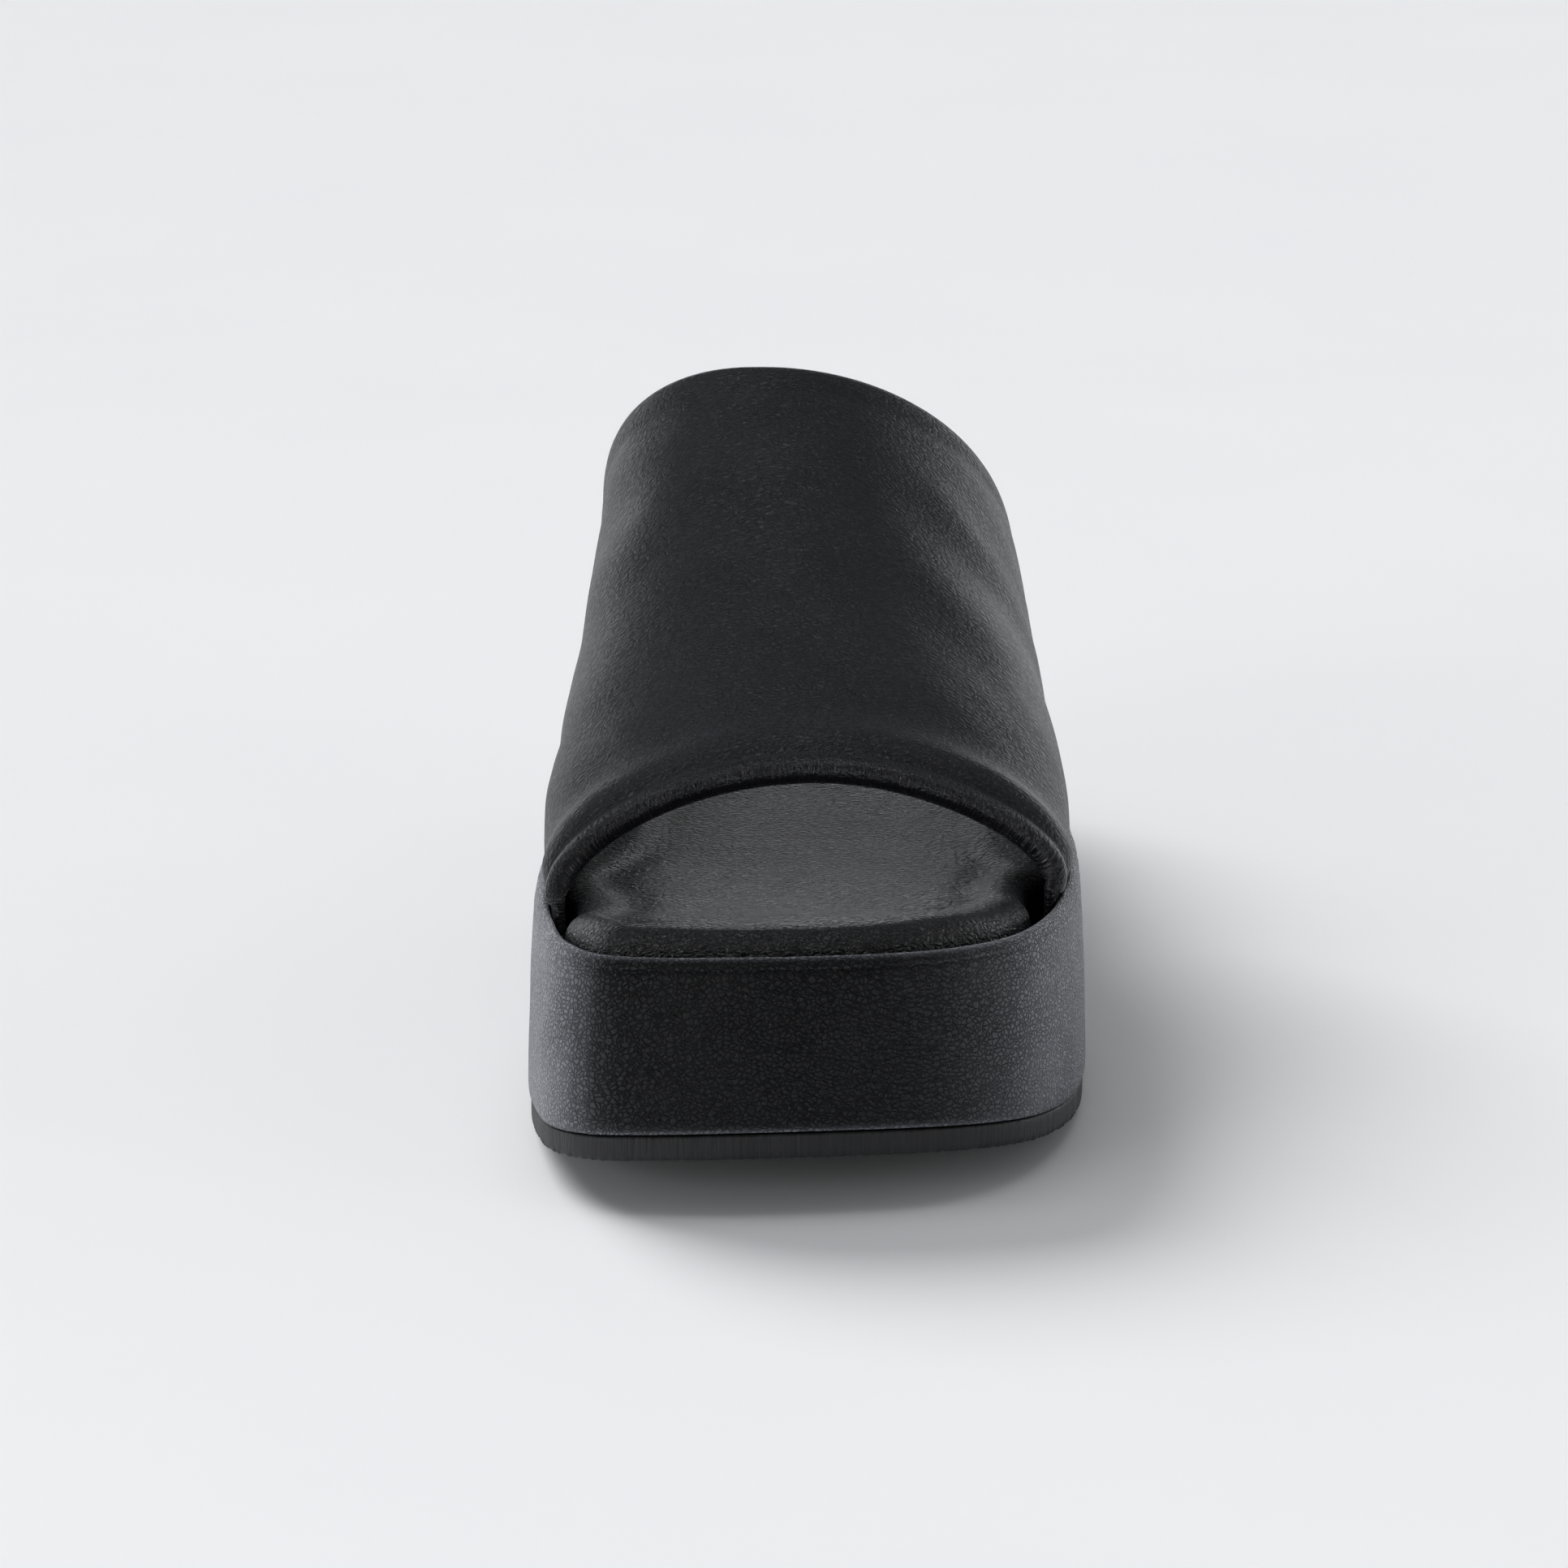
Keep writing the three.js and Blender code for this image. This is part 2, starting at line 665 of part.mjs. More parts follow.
// The origin is at the middle of the sole's box, on the floor.
const box = new THREE.Box3().setFromObject(shoe);
shoe.position.set(-(box.min.x + box.max.x) / 2, -(box.min.y + box.max.y) / 2, -box.min.z);

export default shoe;
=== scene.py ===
# %% [markdown]
# # A platform mule in soft black leather
# The shoe is a left mule: a padded leather upper that is open at the toe and at the heel, a moulded
# footbed, a high platform wrapped in grained leather, and a thin rubber outsole. The solids come from the
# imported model. This lesson dresses them: each piece is made again from the shoe's own sizes with a finer
# surface, folds and creases, and then gets its leather or rubber.

import math

import bpy
import numpy as np
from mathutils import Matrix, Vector


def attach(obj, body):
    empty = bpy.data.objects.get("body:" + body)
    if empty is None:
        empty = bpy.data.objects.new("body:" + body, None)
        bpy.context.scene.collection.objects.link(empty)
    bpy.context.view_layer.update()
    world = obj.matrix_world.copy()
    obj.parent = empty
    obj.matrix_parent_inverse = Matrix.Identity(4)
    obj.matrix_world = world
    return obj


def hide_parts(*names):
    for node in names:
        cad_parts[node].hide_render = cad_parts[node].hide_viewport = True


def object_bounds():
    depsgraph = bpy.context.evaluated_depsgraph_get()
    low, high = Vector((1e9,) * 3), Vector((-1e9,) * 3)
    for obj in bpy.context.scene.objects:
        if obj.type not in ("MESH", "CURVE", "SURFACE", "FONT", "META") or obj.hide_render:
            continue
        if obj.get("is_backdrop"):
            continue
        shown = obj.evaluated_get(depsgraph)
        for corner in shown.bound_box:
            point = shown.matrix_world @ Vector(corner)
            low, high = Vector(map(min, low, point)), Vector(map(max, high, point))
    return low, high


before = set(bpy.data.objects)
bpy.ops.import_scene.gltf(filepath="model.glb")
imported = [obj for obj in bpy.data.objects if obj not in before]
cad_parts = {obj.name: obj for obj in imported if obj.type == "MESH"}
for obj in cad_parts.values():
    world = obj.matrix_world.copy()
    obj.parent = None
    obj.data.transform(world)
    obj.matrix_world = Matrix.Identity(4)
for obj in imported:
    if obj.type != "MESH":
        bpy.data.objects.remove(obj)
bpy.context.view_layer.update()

# %% [markdown]
# ## The shoe's own sizes
# Millimetres, as a pattern cutter would note them. They are those of the solids, but for the soft roll at the
# footbed's front, which is a little higher and rounder here. "along" is the distance back from the tip of
# the toe and "across" is negative on the big toe's side. Sizes that end in REACH, WIDE or FADE say how far a
# form runs before it has died out.

# %% Sizes of the platform
LENGTH, BALL, HEEL = 254.0, 98.9, 70.0
TOE_RIM, BALL_RIM, HEEL_RIM = 45.0, 41.5, 61.0
SPRING, SPRING_REACH, SPRING_TWIST = 10.7, 80.0, 2.1
ARCH, ARCH_START, ARCH_LENGTH = 3.0, 112.0, 76.0
BEVEL, BEVEL_REACH = 1.6, 16.0
GAP = 0.3
OUTSOLE, OUTSOLE_INSET = 4.3, 0.5
RIM_WIDE, RIM_DEEP = 2.5, 9.0
TAPER, TUCK, TUCK_HIGH = 1.5, 0.5, 1.6
print("platform", LENGTH, "x", BALL, "mm, rim", TOE_RIM, "mm high at the toe and", HEEL_RIM, "at the heel")

# %% Sizes of the footbed and the upper
BED_GAP, BED_RISE, BED_EDGE, CUP, ARCH_PAD = 0.5, 2.0, 4.5, 3.5, 4.5
RIDGE, RIDGE_END, RIDGE_FADE = 1.0, 18.0, 14.0
ROLL, ROLL_WIDE, ROLL_SIDE, ROLL_END, ROLL_FADE = 1.2, 14.5, 5.5, 50.0, 25.0
CREST, DROOP = 0.65, 1.5
VALLEY, VALLEY_SIDE, VALLEY_WIDE = 0.25, 1.7, 2.2
SIDE_LIP, SIDE_WIDE = 1.2, 16.0
INSTEP, UPPER_THICK, MARGIN_THICK, MARGIN_RAMP = 69.5, 3.4, 2.0, 8.0
TOE_BEAD, COLLAR_BEAD, BEAD_REACH = 5.0, 3.8, 5.5
FOOT, SWELL, OVER_RIM = 0.1, 0.12, 2.0
TOE_EDGE = {"centre": 47.5, "medial": 32.0, "lateral": 42.0}
COLLAR = {"centre": 139.0, "medial": 172.0, "lateral": 175.0}
print("upper", UPPER_THICK, "mm thick, toe bead", TOE_BEAD, "mm, collar bead", COLLAR_BEAD, "mm")

# %% [markdown]
# ## Tables
# The outline of the platform, the height of its top edge, and the cross sections of the upper are short
# tables of shares of the sizes above, so that one changed size carries everything with it.

# %% Tables
OUTLINE = np.array([  # along (share of the length), across (shares of the ball's and of the heel's width)
    (0.0, -0.235, 0), (0.012, -0.365, 0), (0.052, -0.438, 0), (0.115, -0.475, 0), (0.2, -0.495, 0),
    (0.3, -0.487, 0), (0.43, -0.35, -0.11), (0.56, -0.16, -0.28), (0.69, -0.04, -0.41), (0.81, 0, -0.475),
    (0.92, 0, -0.425), (0.984, 0, -0.235), (1.0, 0, 0.015), (0.984, 0, 0.265), (0.92, 0, 0.455),
    (0.81, 0, 0.51), (0.69, 0.08, 0.45), (0.56, 0.26, 0.26), (0.43, 0.42, 0.09), (0.31, 0.505, 0),
    (0.2, 0.49, 0), (0.122, 0.443, 0), (0.062, 0.364, 0), (0.024, 0.235, 0), (0.005, 0.02, 0)])
RIM = np.array([  # along, then shares of the toe's, the ball's and the heel's rim height
    (0.0, 1, 0, 0), (0.12, 0.4, 0.6, 0), (0.29, 0, 1, 0), (0.45, 0, 0.95, 0.05), (0.6, 0, 0.76, 0.24),
    (0.75, 0, 0.44, 0.56), (0.9, 0, 0.12, 0.88), (1.0, 0, 0, 1)])
UPPER = np.array([  # along, crown, shift, lean (medial, lateral), wall (m, l), top (m, l)
    (0.11, 0.15, 0.03, 0.00, 0.03, 0.47, 0.34, 0.48, 0.48),
    (0.19, 0.33, 0.02, 0.03, 0.04, 0.48, 0.38, 0.54, 0.50),
    (0.29, 0.51, 0.00, 0.07, 0.04, 0.56, 0.44, 0.62, 0.54),
    (0.39, 0.70, -0.03, 0.12, 0.06, 0.59, 0.49, 0.64, 0.51),
    (0.49, 0.92, -0.07, 0.16, 0.07, 0.62, 0.52, 0.69, 0.52),
    (0.55, 1.04, -0.09, 0.19, 0.10, 0.68, 0.56, 0.75, 0.52),
    (0.64, 1.21, -0.10, 0.20, 0.10, 0.74, 0.58, 0.79, 0.55),
    (0.72, 1.34, -0.10, 0.18, 0.09, 0.78, 0.59, 0.79, 0.57)])
print("tables", len(OUTLINE), "points of outline,", len(UPPER), "sections of the upper")

# %% [markdown]
# ## Curves through a table
# A shoe has hardly a straight line. `column` reads one column of a table as a smooth curve that runs on
# straight past its ends. `step` eases from 0 to 1 and `bell` is a soft bump, and between them they fade
# every form in and out.

# %% Curve helpers
def step(t):
    c = np.clip(t, 0, 1)
    return c * c * (3 - 2 * c)


def bell(value, middle, width):
    return np.exp(-(((value - middle) / width) ** 2))


def column(table, k):
    at, value, last = table[:, 0], table[:, k], len(table) - 1
    around = [(max(0, i - 1), min(last, i + 1)) for i in range(last + 1)]
    slope = np.array([(value[b] - value[a]) / (at[b] - at[a]) for a, b in around])

    def read(along):
        share = np.asarray(along, float) / LENGTH
        i = np.clip(np.searchsorted(at, share, side="right") - 1, 0, last - 1)
        span = at[i + 1] - at[i]
        t = (share - at[i]) / span
        r = 1 - t
        inside = value[i] * r * r * (1 + 2 * t) + value[i + 1] * t * t * (3 - 2 * t)
        inside = inside + slope[i] * span * t * r * r - slope[i + 1] * span * t * t * r
        before = value[0] + slope[0] * (share - at[0])
        after = value[last] + slope[last] * (share - at[last])
        return np.where(share < at[0], before, np.where(share > at[last], after, inside))

    return read


print("crown of the upper at its middle", round(float(column(UPPER, 1)(100) * INSTEP), 1), "mm over the rim")

# %% [markdown]
# ## The sole's outline
# `outline` runs a smooth closed curve through the rows of its table. `inset` moves such a line in towards
# the middle, which is how the rim, the footbed and the upper's margin all follow one pattern.

# %% Outline
def outline(count):
    """count points round the sole, anticlockwise from above, from the tip of the toe."""
    p = np.stack([OUTLINE[:, 1] * BALL + OUTLINE[:, 2] * HEEL, OUTLINE[:, 0] * LENGTH], -1)
    n = len(p)
    t = (int(np.argmax(OUTLINE[:, 0])) / n + 1.5 - np.arange(count) / count) % 1 * n
    i = np.floor(t).astype(int) % n
    f = (t - np.floor(t))[:, None]
    p0, p1, p2, p3 = p[i - 1], p[i], p[(i + 1) % n], p[(i + 2) % n]
    pairs = ((p0, p1), (p1, p2), (p2, p3))
    d0, d1, d2 = [np.sqrt(np.linalg.norm(b - a, axis=1))[:, None] for a, b in pairs]
    m1 = ((p1 - p0) / d0 - (p2 - p0) / (d0 + d1) + (p2 - p1) / d1) * d1
    m2 = ((p2 - p1) / d1 - (p3 - p1) / (d1 + d2) + (p3 - p2) / d2) * d1
    return p1 + m1 * f + (3 * (p2 - p1) - 2 * m1 - m2) * f**2 + (2 * (p1 - p2) + m1 + m2) * f**3


def inset(points, distance):
    way = np.roll(points, -1, 0) - np.roll(points, 1, 0)
    way /= np.linalg.norm(way, axis=1)[:, None]
    return points + np.stack([-way[:, 1], way[:, 0]], -1) * np.asarray(distance)[..., None]


def edge_at(points, side):
    """Half the outline as a function of along: side -1 is the big toe's side."""
    at = np.linspace(points[:, 1].min() + 0.01, points[:, 1].max() - 0.01, 500)
    a, b = points, np.roll(points, -1, 0)
    best = []
    for y in at:
        hit = ((a[:, 1] - y) * (b[:, 1] - y) <= 0) & (a[:, 1] != b[:, 1])
        x = a[hit, 0] + (y - a[hit, 1]) / (b[hit, 1] - a[hit, 1]) * (b[hit, 0] - a[hit, 0])
        best.append(side * (x * side).max())
    return lambda along: np.interp(along, at, best)


AROUND = 420
plan = outline(AROUND)
centre = (plan.min(0) + plan.max(0)) / 2
print("plan", plan.min(0).round(1), plan.max(0).round(1))

# %% [markdown]
# ## Heights
# The rim rises towards the heel. The sole springs up at the toe, a little more on the outer side, lifts
# under the arch and is bevelled at the back of the heel. `foot_of_cover` is where the leather meets the
# outsole, and `deck` is the bottom of the hollow that the footbed lies in.

# %% Heights
rim_parts = [column(RIM, k) for k in (1, 2, 3)]


def rim_height(along):
    return sum(part(along) * height for part, height in zip(rim_parts, (TOE_RIM, BALL_RIM, HEEL_RIM)))


def ground(p):
    y = p[..., 1]
    spring = np.clip(1 - y / SPRING_REACH, 0, None) ** 2
    arch = np.sin(np.pi * np.clip((y - ARCH_START) / ARCH_LENGTH, 0, 1)) ** 2
    bevel = np.clip((y - LENGTH + BEVEL_REACH) / BEVEL_REACH, 0, None) ** 2
    return spring * (SPRING + SPRING_TWIST * p[..., 0] / BALL) + ARCH * arch + BEVEL * bevel


def foot_of_cover(p):
    return ground(p) + OUTSOLE + GAP


def deck(p):
    return rim_height(p[:, 1]) - RIM_DEEP


print("toe springs", round(float(ground(plan).max()), 1), "mm")

# %% [markdown]
# ## From rings to a mesh
# Every piece is a stack of rings with the same number of points. `loft` joins each ring to the next, and
# either closes the stack on itself, as for a band, or fills the first and last ring. Each point also keeps
# its place on the hide in millimetres, so that the grain can later run with the leather and not with the
# room.

# %% Mesh helpers
def span_fill(n):
    """Faces across a ring from side to side, point by point."""
    faces = [(0, 1, n - 1)]
    for i in range(1, n // 2 - 1):
        faces.append((i, i + 1, n - i - 1, n - i))
    return faces + [(n // 2 - 1, n // 2, n // 2 + 1)]


def cross_fill(n):
    """Faces across a flat ring whose second half runs back beside its first."""
    return [(i, i + 1, n - 2 - i, n - 1 - i) for i in range(n // 2 - 1)]


def square_fill(n):
    return [(0, 1, 2, 3)]


def store(mesh, key, kind, field, values):
    attribute = mesh.attributes.new(key, kind, "POINT")
    attribute.data.foreach_set(field, np.ascontiguousarray(values, dtype=np.float32).ravel())


def loft(name, rings, fill=None, lay=None, ratios=None):
    rings = np.asarray(rings)
    count, n = rings.shape[:2]
    index = np.arange(count * n).reshape(count, n)
    rows = count if fill is None else count - 1
    a, d = index[:rows], np.roll(index, -1, 0)[:rows]
    faces = np.stack([a, np.roll(a, -1, 1), np.roll(d, -1, 1), d], -1).reshape(-1, 4).tolist()
    if fill:
        faces += [tuple(reversed(f)) for f in fill(n)]
        faces += [tuple(index[-1][k] for k in f) for f in fill(n)]
    points = rings.reshape(-1, 3) - [centre[0], centre[1], 0]
    mesh = bpy.data.meshes.new(name)
    mesh.from_pydata((points / 1000).tolist(), [], [tuple(map(int, f)) for f in faces])
    mesh.shade_smooth()
    if lay is not None:
        store(mesh, "lay", "FLOAT_VECTOR", "vector", np.asarray(lay).reshape(-1, 3))
    for key, values in (ratios or {}).items():
        store(mesh, key, "FLOAT", "value", np.asarray(values).reshape(-1))
    piece = bpy.data.objects.new(name, mesh)
    bpy.context.scene.collection.objects.link(piece)
    print(name, len(mesh.polygons), "faces")
    return piece


# %% [markdown]
# ## Small helpers for shapes
# `raised` lifts a flat line to a height, `toward_spine` shrinks it towards the line down the middle of the
# sole, and `waves` gives the soft random swells that hand work leaves, the same ones each time.

# %% Shape helpers
SPINE_FRONT, SPINE_BACK, SPINE_DRIFT = 0.19, 0.85, 0.02


def raised(points, height):
    return np.concatenate([points, np.broadcast_to(height, len(points))[:, None]], 1)


def arc_length(points):
    return np.concatenate([[0], np.cumsum(np.linalg.norm(np.diff(points, axis=0), axis=1))])


def toward_spine(points, share):
    y = np.clip(points[:, 1], SPINE_FRONT * LENGTH, SPINE_BACK * LENGTH)
    x = SPINE_DRIFT * HEEL * (y - SPINE_FRONT * LENGTH) / (0.66 * LENGTH)
    spine = np.stack([x, y], -1)
    return spine + (points - spine) * share


def waves(p, size, seed, octaves=2):
    """Soft random swells about as long as size, seldom past 1 either way."""
    out = 0
    dice = np.random.default_rng(seed)
    for k in range(octaves):
        for _ in range(5):
            way = dice.normal(size=3)
            way /= np.linalg.norm(way)
            out = out + np.sin(p @ way * 2 * np.pi / size * 2**k + dice.uniform(0, 6.28)) / (5 * 2**k)
    return out


print("round the platform", arc_length(np.vstack([plan, plan[:1]]))[-1].round(), "mm of leather")

# %% [markdown]
# ## Where the cover bends
# A strip of grained leather is glued round the core. Leather that goes round a tight corner puckers a
# little, so the outline's bend is measured first, and the toe's two corners later get faint upright waves.
# The strip's place on the hide is kept as a point on a cylinder, so that its grain has no seam where the
# ends meet.

# %% Bend and lay of the cover
arc = arc_length(np.vstack([plan, plan[:1]]))[:-1]
way = np.roll(plan, -3, 0) - np.roll(plan, 3, 0)
heading = np.unwrap(np.arctan2(way[:, 1], way[:, 0]))
bend = np.abs(np.gradient(heading, arc, edge_order=2))
bend = np.convolve(np.concatenate([bend[-12:], bend, bend[:12]]), np.ones(25) / 25, "valid")
corner = np.clip(bend / bend.max(), 0, 1) ** 1.5
reach = (arc[-1] + arc[1]) / (2 * np.pi)
print("tightest corner bends round", round(float(1 / bend.max())), "mm")


def on_band(height):
    return np.stack([reach * np.cos(arc / reach), reach * np.sin(arc / reach), height + 0 * arc], -1)


# %% [markdown]
# ## The platform's cover
# The strip's lower margin is trapped by the outsole, and its top is turned over a soft filler into the slot
# where the footbed sits. That gives a slightly uneven rim about a millimetre wide with a fine groove under
# it. The two tables hold its section, as millimetres below the top and millimetres in from the side.

# %% Platform cover
RIM_OUTSIDE = ((2.7, 0.04), (2.35, 0.12), (2.1, 0.27), (1.9, 0.36), (1.7, 0.33), (1.45, 0.26), (1.15, 0.27),
               (0.8, 0.4), (0.5, 0.62), (0.25, 0.92), (0.08, 1.25), (0.0, 1.62))
RIM_INSIDE = ((0.1, 1.95), (0.36, 2.25), (0.8, 2.42), (1.6, RIM_WIDE))
WALL_BELOW, HIDDEN_THICK, BELLY = 3.1, 1.3, 0.25
low, high = foot_of_cover(plan), rim_height(plan[:, 1])


def wall_ring(z, thickness):
    up = (z - low) / (high - low)
    tuck = TUCK * np.clip(1 - (z - low) / TUCK_HIGH, 0, None) ** 2
    return raised(inset(plan, TAPER * up + tuck + thickness), z)


def rim_pucker(ring):
    """The small unevenness of the turned edge, the same for every ring near it."""
    level = raised(ring[:, :2], 40.0)
    return waves(level, 6, 5) * 0.07 + waves(level, 18, 6) * 0.12


cover_rings, cover_lay = [], []
for share in np.concatenate([np.linspace(0, 0.9, 30), np.linspace(0.9, 1, 9)[1:]]):
    ring = wall_ring(low + (high - WALL_BELOW - low) * share, 0.0)
    middle = np.sin(np.pi * share)
    soft = waves(ring, 26, 3) * 0.16 * middle + waves(ring * [1, 1, 0.15], 9, 4) * 0.13 * corner
    near_rim = step((share - 0.82) / 0.18)
    ring[:, :2] = inset(ring[:, :2], -(soft + BELLY * middle) - 0.5 * rim_pucker(ring) * near_rim)
    cover_rings.append(ring)
    cover_lay.append(on_band(ring[:, 2] - low))
print("wall of the cover", len(cover_rings), "rings")

# %% Rim of the cover
for drop, thick in RIM_OUTSIDE:
    ring = wall_ring(high - drop, thick)
    pucker = rim_pucker(ring)
    ring[:, 2] += pucker * step(1 - drop / 2.7)
    ring[:, :2] = inset(ring[:, :2], -pucker * 0.5)
    cover_rings.append(ring)
    cover_lay.append(on_band(high - low - drop + thick))
for drop, thick in RIM_INSIDE:
    cover_rings.append(wall_ring(high - drop, thick))
    cover_lay.append(on_band(high - low + drop + thick))
for z, thick in (
    (deck(plan) + GAP, RIM_WIDE),
    (deck(plan) - 2, HIDDEN_THICK),
    (low + TUCK_HIGH, HIDDEN_THICK),
    (low, HIDDEN_THICK),
):
    cover_rings.append(wall_ring(z, thick))
    cover_lay.append(on_band(50 - thick))
cover = loft("platform_leather", cover_rings, lay=cover_lay)

# %% [markdown]
# ## The outsole
# Cut from a sheet of black rubber and ground flush by hand after glueing. A fine ribbing is pressed into
# the tread, and where it meets the ground edge at the toe it leaves a row of small teeth.

# %% Outsole
RIB_PITCH, RIB_DEEP, RIB_BOW = 2.5, 0.35, 9.0
TOOTH_PITCH, TOOTH_HIGH = 2.1, 0.3
SOLE_AROUND = 1000


def tread(p):
    bowed = p[..., 1] - RIB_BOW * (p[..., 0] / (0.6 * BALL)) ** 2
    rib = 0.5 - 0.5 * np.cos(2 * np.pi * bowed / RIB_PITCH)
    worn = step((p[..., 1] - 4) / 6) * step((LENGTH - 6 - p[..., 1]) / 8)
    return ground(p) + RIB_DEEP * rib**3 * worn


sole_plan = inset(outline(SOLE_AROUND), OUTSOLE_INSET)
rings = [raised(p, tread(p)) for p in
         [toward_spine(inset(sole_plan, 1.2), share) for share in (0.04, 0.3, 0.55, 0.75, 0.9, 1.0)]]
way_round = arc_length(np.vstack([sole_plan, sole_plan[:1]]))[:-1]
teeth = TOOTH_HIGH * (1 - np.cos(2 * np.pi * way_round / TOOTH_PITCH))
teeth = teeth * (1 - step((sole_plan[:, 1] - 40) / 30))
teeth = teeth * (0.35 + 0.65 * step((np.abs(sole_plan[:, 0]) - 12) / 18))
rings.append(raised(inset(sole_plan, 0.3), tread(inset(sole_plan, 0.3)) + 0.05 + teeth * 0.5))
rings.append(raised(sole_plan, tread(sole_plan) + 0.25 + teeth))
for share in (0.35, 0.65, 0.9):
    rings.append(raised(sole_plan, ground(sole_plan) + OUTSOLE * share))
rings.append(raised(inset(sole_plan, 0.12), ground(sole_plan) + OUTSOLE))
for share in (1, 0.6, 0.2, 0.04):
    p = toward_spine(inset(sole_plan, 4), share)
    rings.append(raised(p, ground(p) + OUTSOLE))
outsole = loft("rubber_outsole", rings, span_fill)

# %% [markdown]
# ## Grooves across the tread
# The wide grooves are cut with a bowed bar that stops short of the edge. All the bars are joined to one
# object and taken away from the rubber in one boolean, which is then kept as plain mesh.

# %% Grooves
BORDER, BAR_HALF, BAR_BELOW, BAR_ABOVE = 4.0, 1, -1.5, 1.5
border = inset(plan, BORDER)
border_side = {-1: edge_at(border, -1), 1: edge_at(border, 1)}


def tread_bar(start):
    """A bowed bar across the sole that ends inside the border."""
    x = np.linspace(float(border_side[-1](start + 3)), float(border_side[1](start + 3)), 25)
    bow = RIB_BOW * (x / (0.6 * BALL)) ** 2
    ring = []
    for xi, near, far in zip(x, start + bow - BAR_HALF, start + bow + BAR_HALF):
        roof = [float(ground(np.array([xi, y]))) + BAR_ABOVE for y in (far, near)]
        ring.append([(xi, near, BAR_BELOW), (xi, far, BAR_BELOW), (xi, far, roof[0]), (xi, near, roof[1])])
    return ring


grooves = [14 + 10 * i for i in range(10)] + [194 + 10 * i for i in range(5)]
bars = [loft(f"bar_{i}", tread_bar(at), square_fill) for i, at in enumerate(grooves)]
for bar in bars:
    bar.data.shade_flat()
bpy.context.view_layer.update()
with bpy.context.temp_override(active_object=bars[0], selected_editable_objects=bars):
    bpy.ops.object.join()
cut = outsole.modifiers.new("grooves", "BOOLEAN")
cut.operation = "DIFFERENCE"
cut.object = bars[0]
cut.solver = "EXACT"
bpy.context.view_layer.update()
evaluated = outsole.evaluated_get(bpy.context.evaluated_depsgraph_get())
grooved = bpy.data.meshes.new_from_object(evaluated)
outsole.modifiers.clear()
outsole.data = grooved
bpy.data.objects.remove(bars[0])
print("outsole after grooving", len(outsole.data.polygons), "faces")

# %% [markdown]
# ## The footbed's edge
# The footbed fills the hollow inside the rim. Beside the foot it leaves room for the upper's margin, and
# where the bead of the toe opening comes down on to the rim it stands back a little more, on the outer side
# most.

# %% Edge of the footbed
start = np.where(plan[:, 0] < 0, TOE_EDGE["medial"], TOE_EDGE["lateral"])
end = np.where(plan[:, 0] < 0, COLLAR["medial"], COLLAR["lateral"])
beside = step((plan[:, 1] - start + GAP + MARGIN_RAMP) / MARGIN_RAMP)
beside = beside * step((end + GAP + MARGIN_RAMP - plan[:, 1]) / MARGIN_RAMP)
room_for_bead = np.where(plan[:, 0] > 0, 2.6, 1.4) * np.exp(-(((plan[:, 1] - start - 2) / 9) ** 4))
at_front = 0.3 * (1 - step((plan[:, 1] - 14) / 22))
at_front = at_front + 2.3 * step((plan[:, 0] - 6) / 26) * (1 - step((plan[:, 1] - 30) / 12))
bed_inset = TAPER + RIM_WIDE + BED_GAP
bed_edge = inset(plan, bed_inset + (MARGIN_THICK + GAP) * beside + room_for_bead + at_front)
print("footbed", (bed_edge.max(0) - bed_edge.min(0)).round(1), "mm across and along")


def inside_edge(p):
    """How far each point lies in from the footbed's edge."""
    a, b = bed_edge[None], np.roll(bed_edge, -1, 0)[None]
    ab = b - a
    out = np.empty(len(p))
    for k in range(0, len(p), 300):
        q = p[k : k + 300, None]
        t = np.clip(((q - a) * ab).sum(-1) / (ab * ab).sum(-1), 0, 1)[..., None]
        out[k : k + 300] = np.linalg.norm(q - a - ab * t, axis=-1).min(1)
    return out


# %% [markdown]
# ## The footbed
# Foam under thin leather, pressed in a mould: a soft roll across in front of the toes, a shallow valley
# behind it, a lower lip down both sides, a pad under the arch and a cup for the heel. The leather wrinkles
# finely across, and the foam under it is never quite even.

# %% Footbed
def bed_top(p):
    d, y = inside_edge(p), p[:, 1]
    aside = np.minimum(1.2, np.abs(p[:, 0]) / (0.4 * BALL)) ** 2
    back = step((y - ROLL_END) / ROLL_FADE)
    width = (ROLL_WIDE + (ROLL_SIDE - ROLL_WIDE) * aside) * (1 - back) + SIDE_WIDE * back
    q = d / width
    back_part = np.clip((q - CREST) / (1 - CREST), 0, 1)
    crest = np.where(q < CREST, 1 - DROOP * (1 - q / CREST) ** 2, np.cos(np.pi / 2 * back_part) ** 2)
    level = 1 - 0.9 * step((y - 15) / 9) * np.clip(aside, 0, 1)
    roll = crest * (ROLL * (1 - back) + SIDE_LIP * back) * level
    valley = (1 - back) * (VALLEY + (VALLEY_SIDE - VALLEY) * aside) * level * bell(d, width, VALLEY_WIDE)
    edge = BED_EDGE * (1 - np.sqrt(1 - np.clip(1 - d / BED_EDGE, 0, 1) ** 2))
    ridge = RIDGE * (1 - step((y - RIDGE_END) / RIDGE_FADE))
    share = y / LENGTH
    arch = ARCH_PAD * np.exp(-(((p[:, 0] + 0.3 * BALL) / (0.16 * BALL)) ** 2) - ((share - 0.58) / 0.13) ** 2)
    cup = CUP * np.exp(-(((p[:, 0] - 0.02 * HEEL) / (0.33 * HEEL)) ** 2) - ((share - 0.85) / 0.12) ** 2)
    p3 = raised(p, 0)
    wrinkle = waves(p3 * [0.35, 1.6, 1], 9, 11, 3) * 0.08 * step((d - width) / 4)
    uneven = waves(p3, 55, 12, 1) * 0.22 * step(d / 20)
    return rim_height(y) + BED_RISE + ridge + roll - valley - edge + arch - cup + wrinkle + uneven


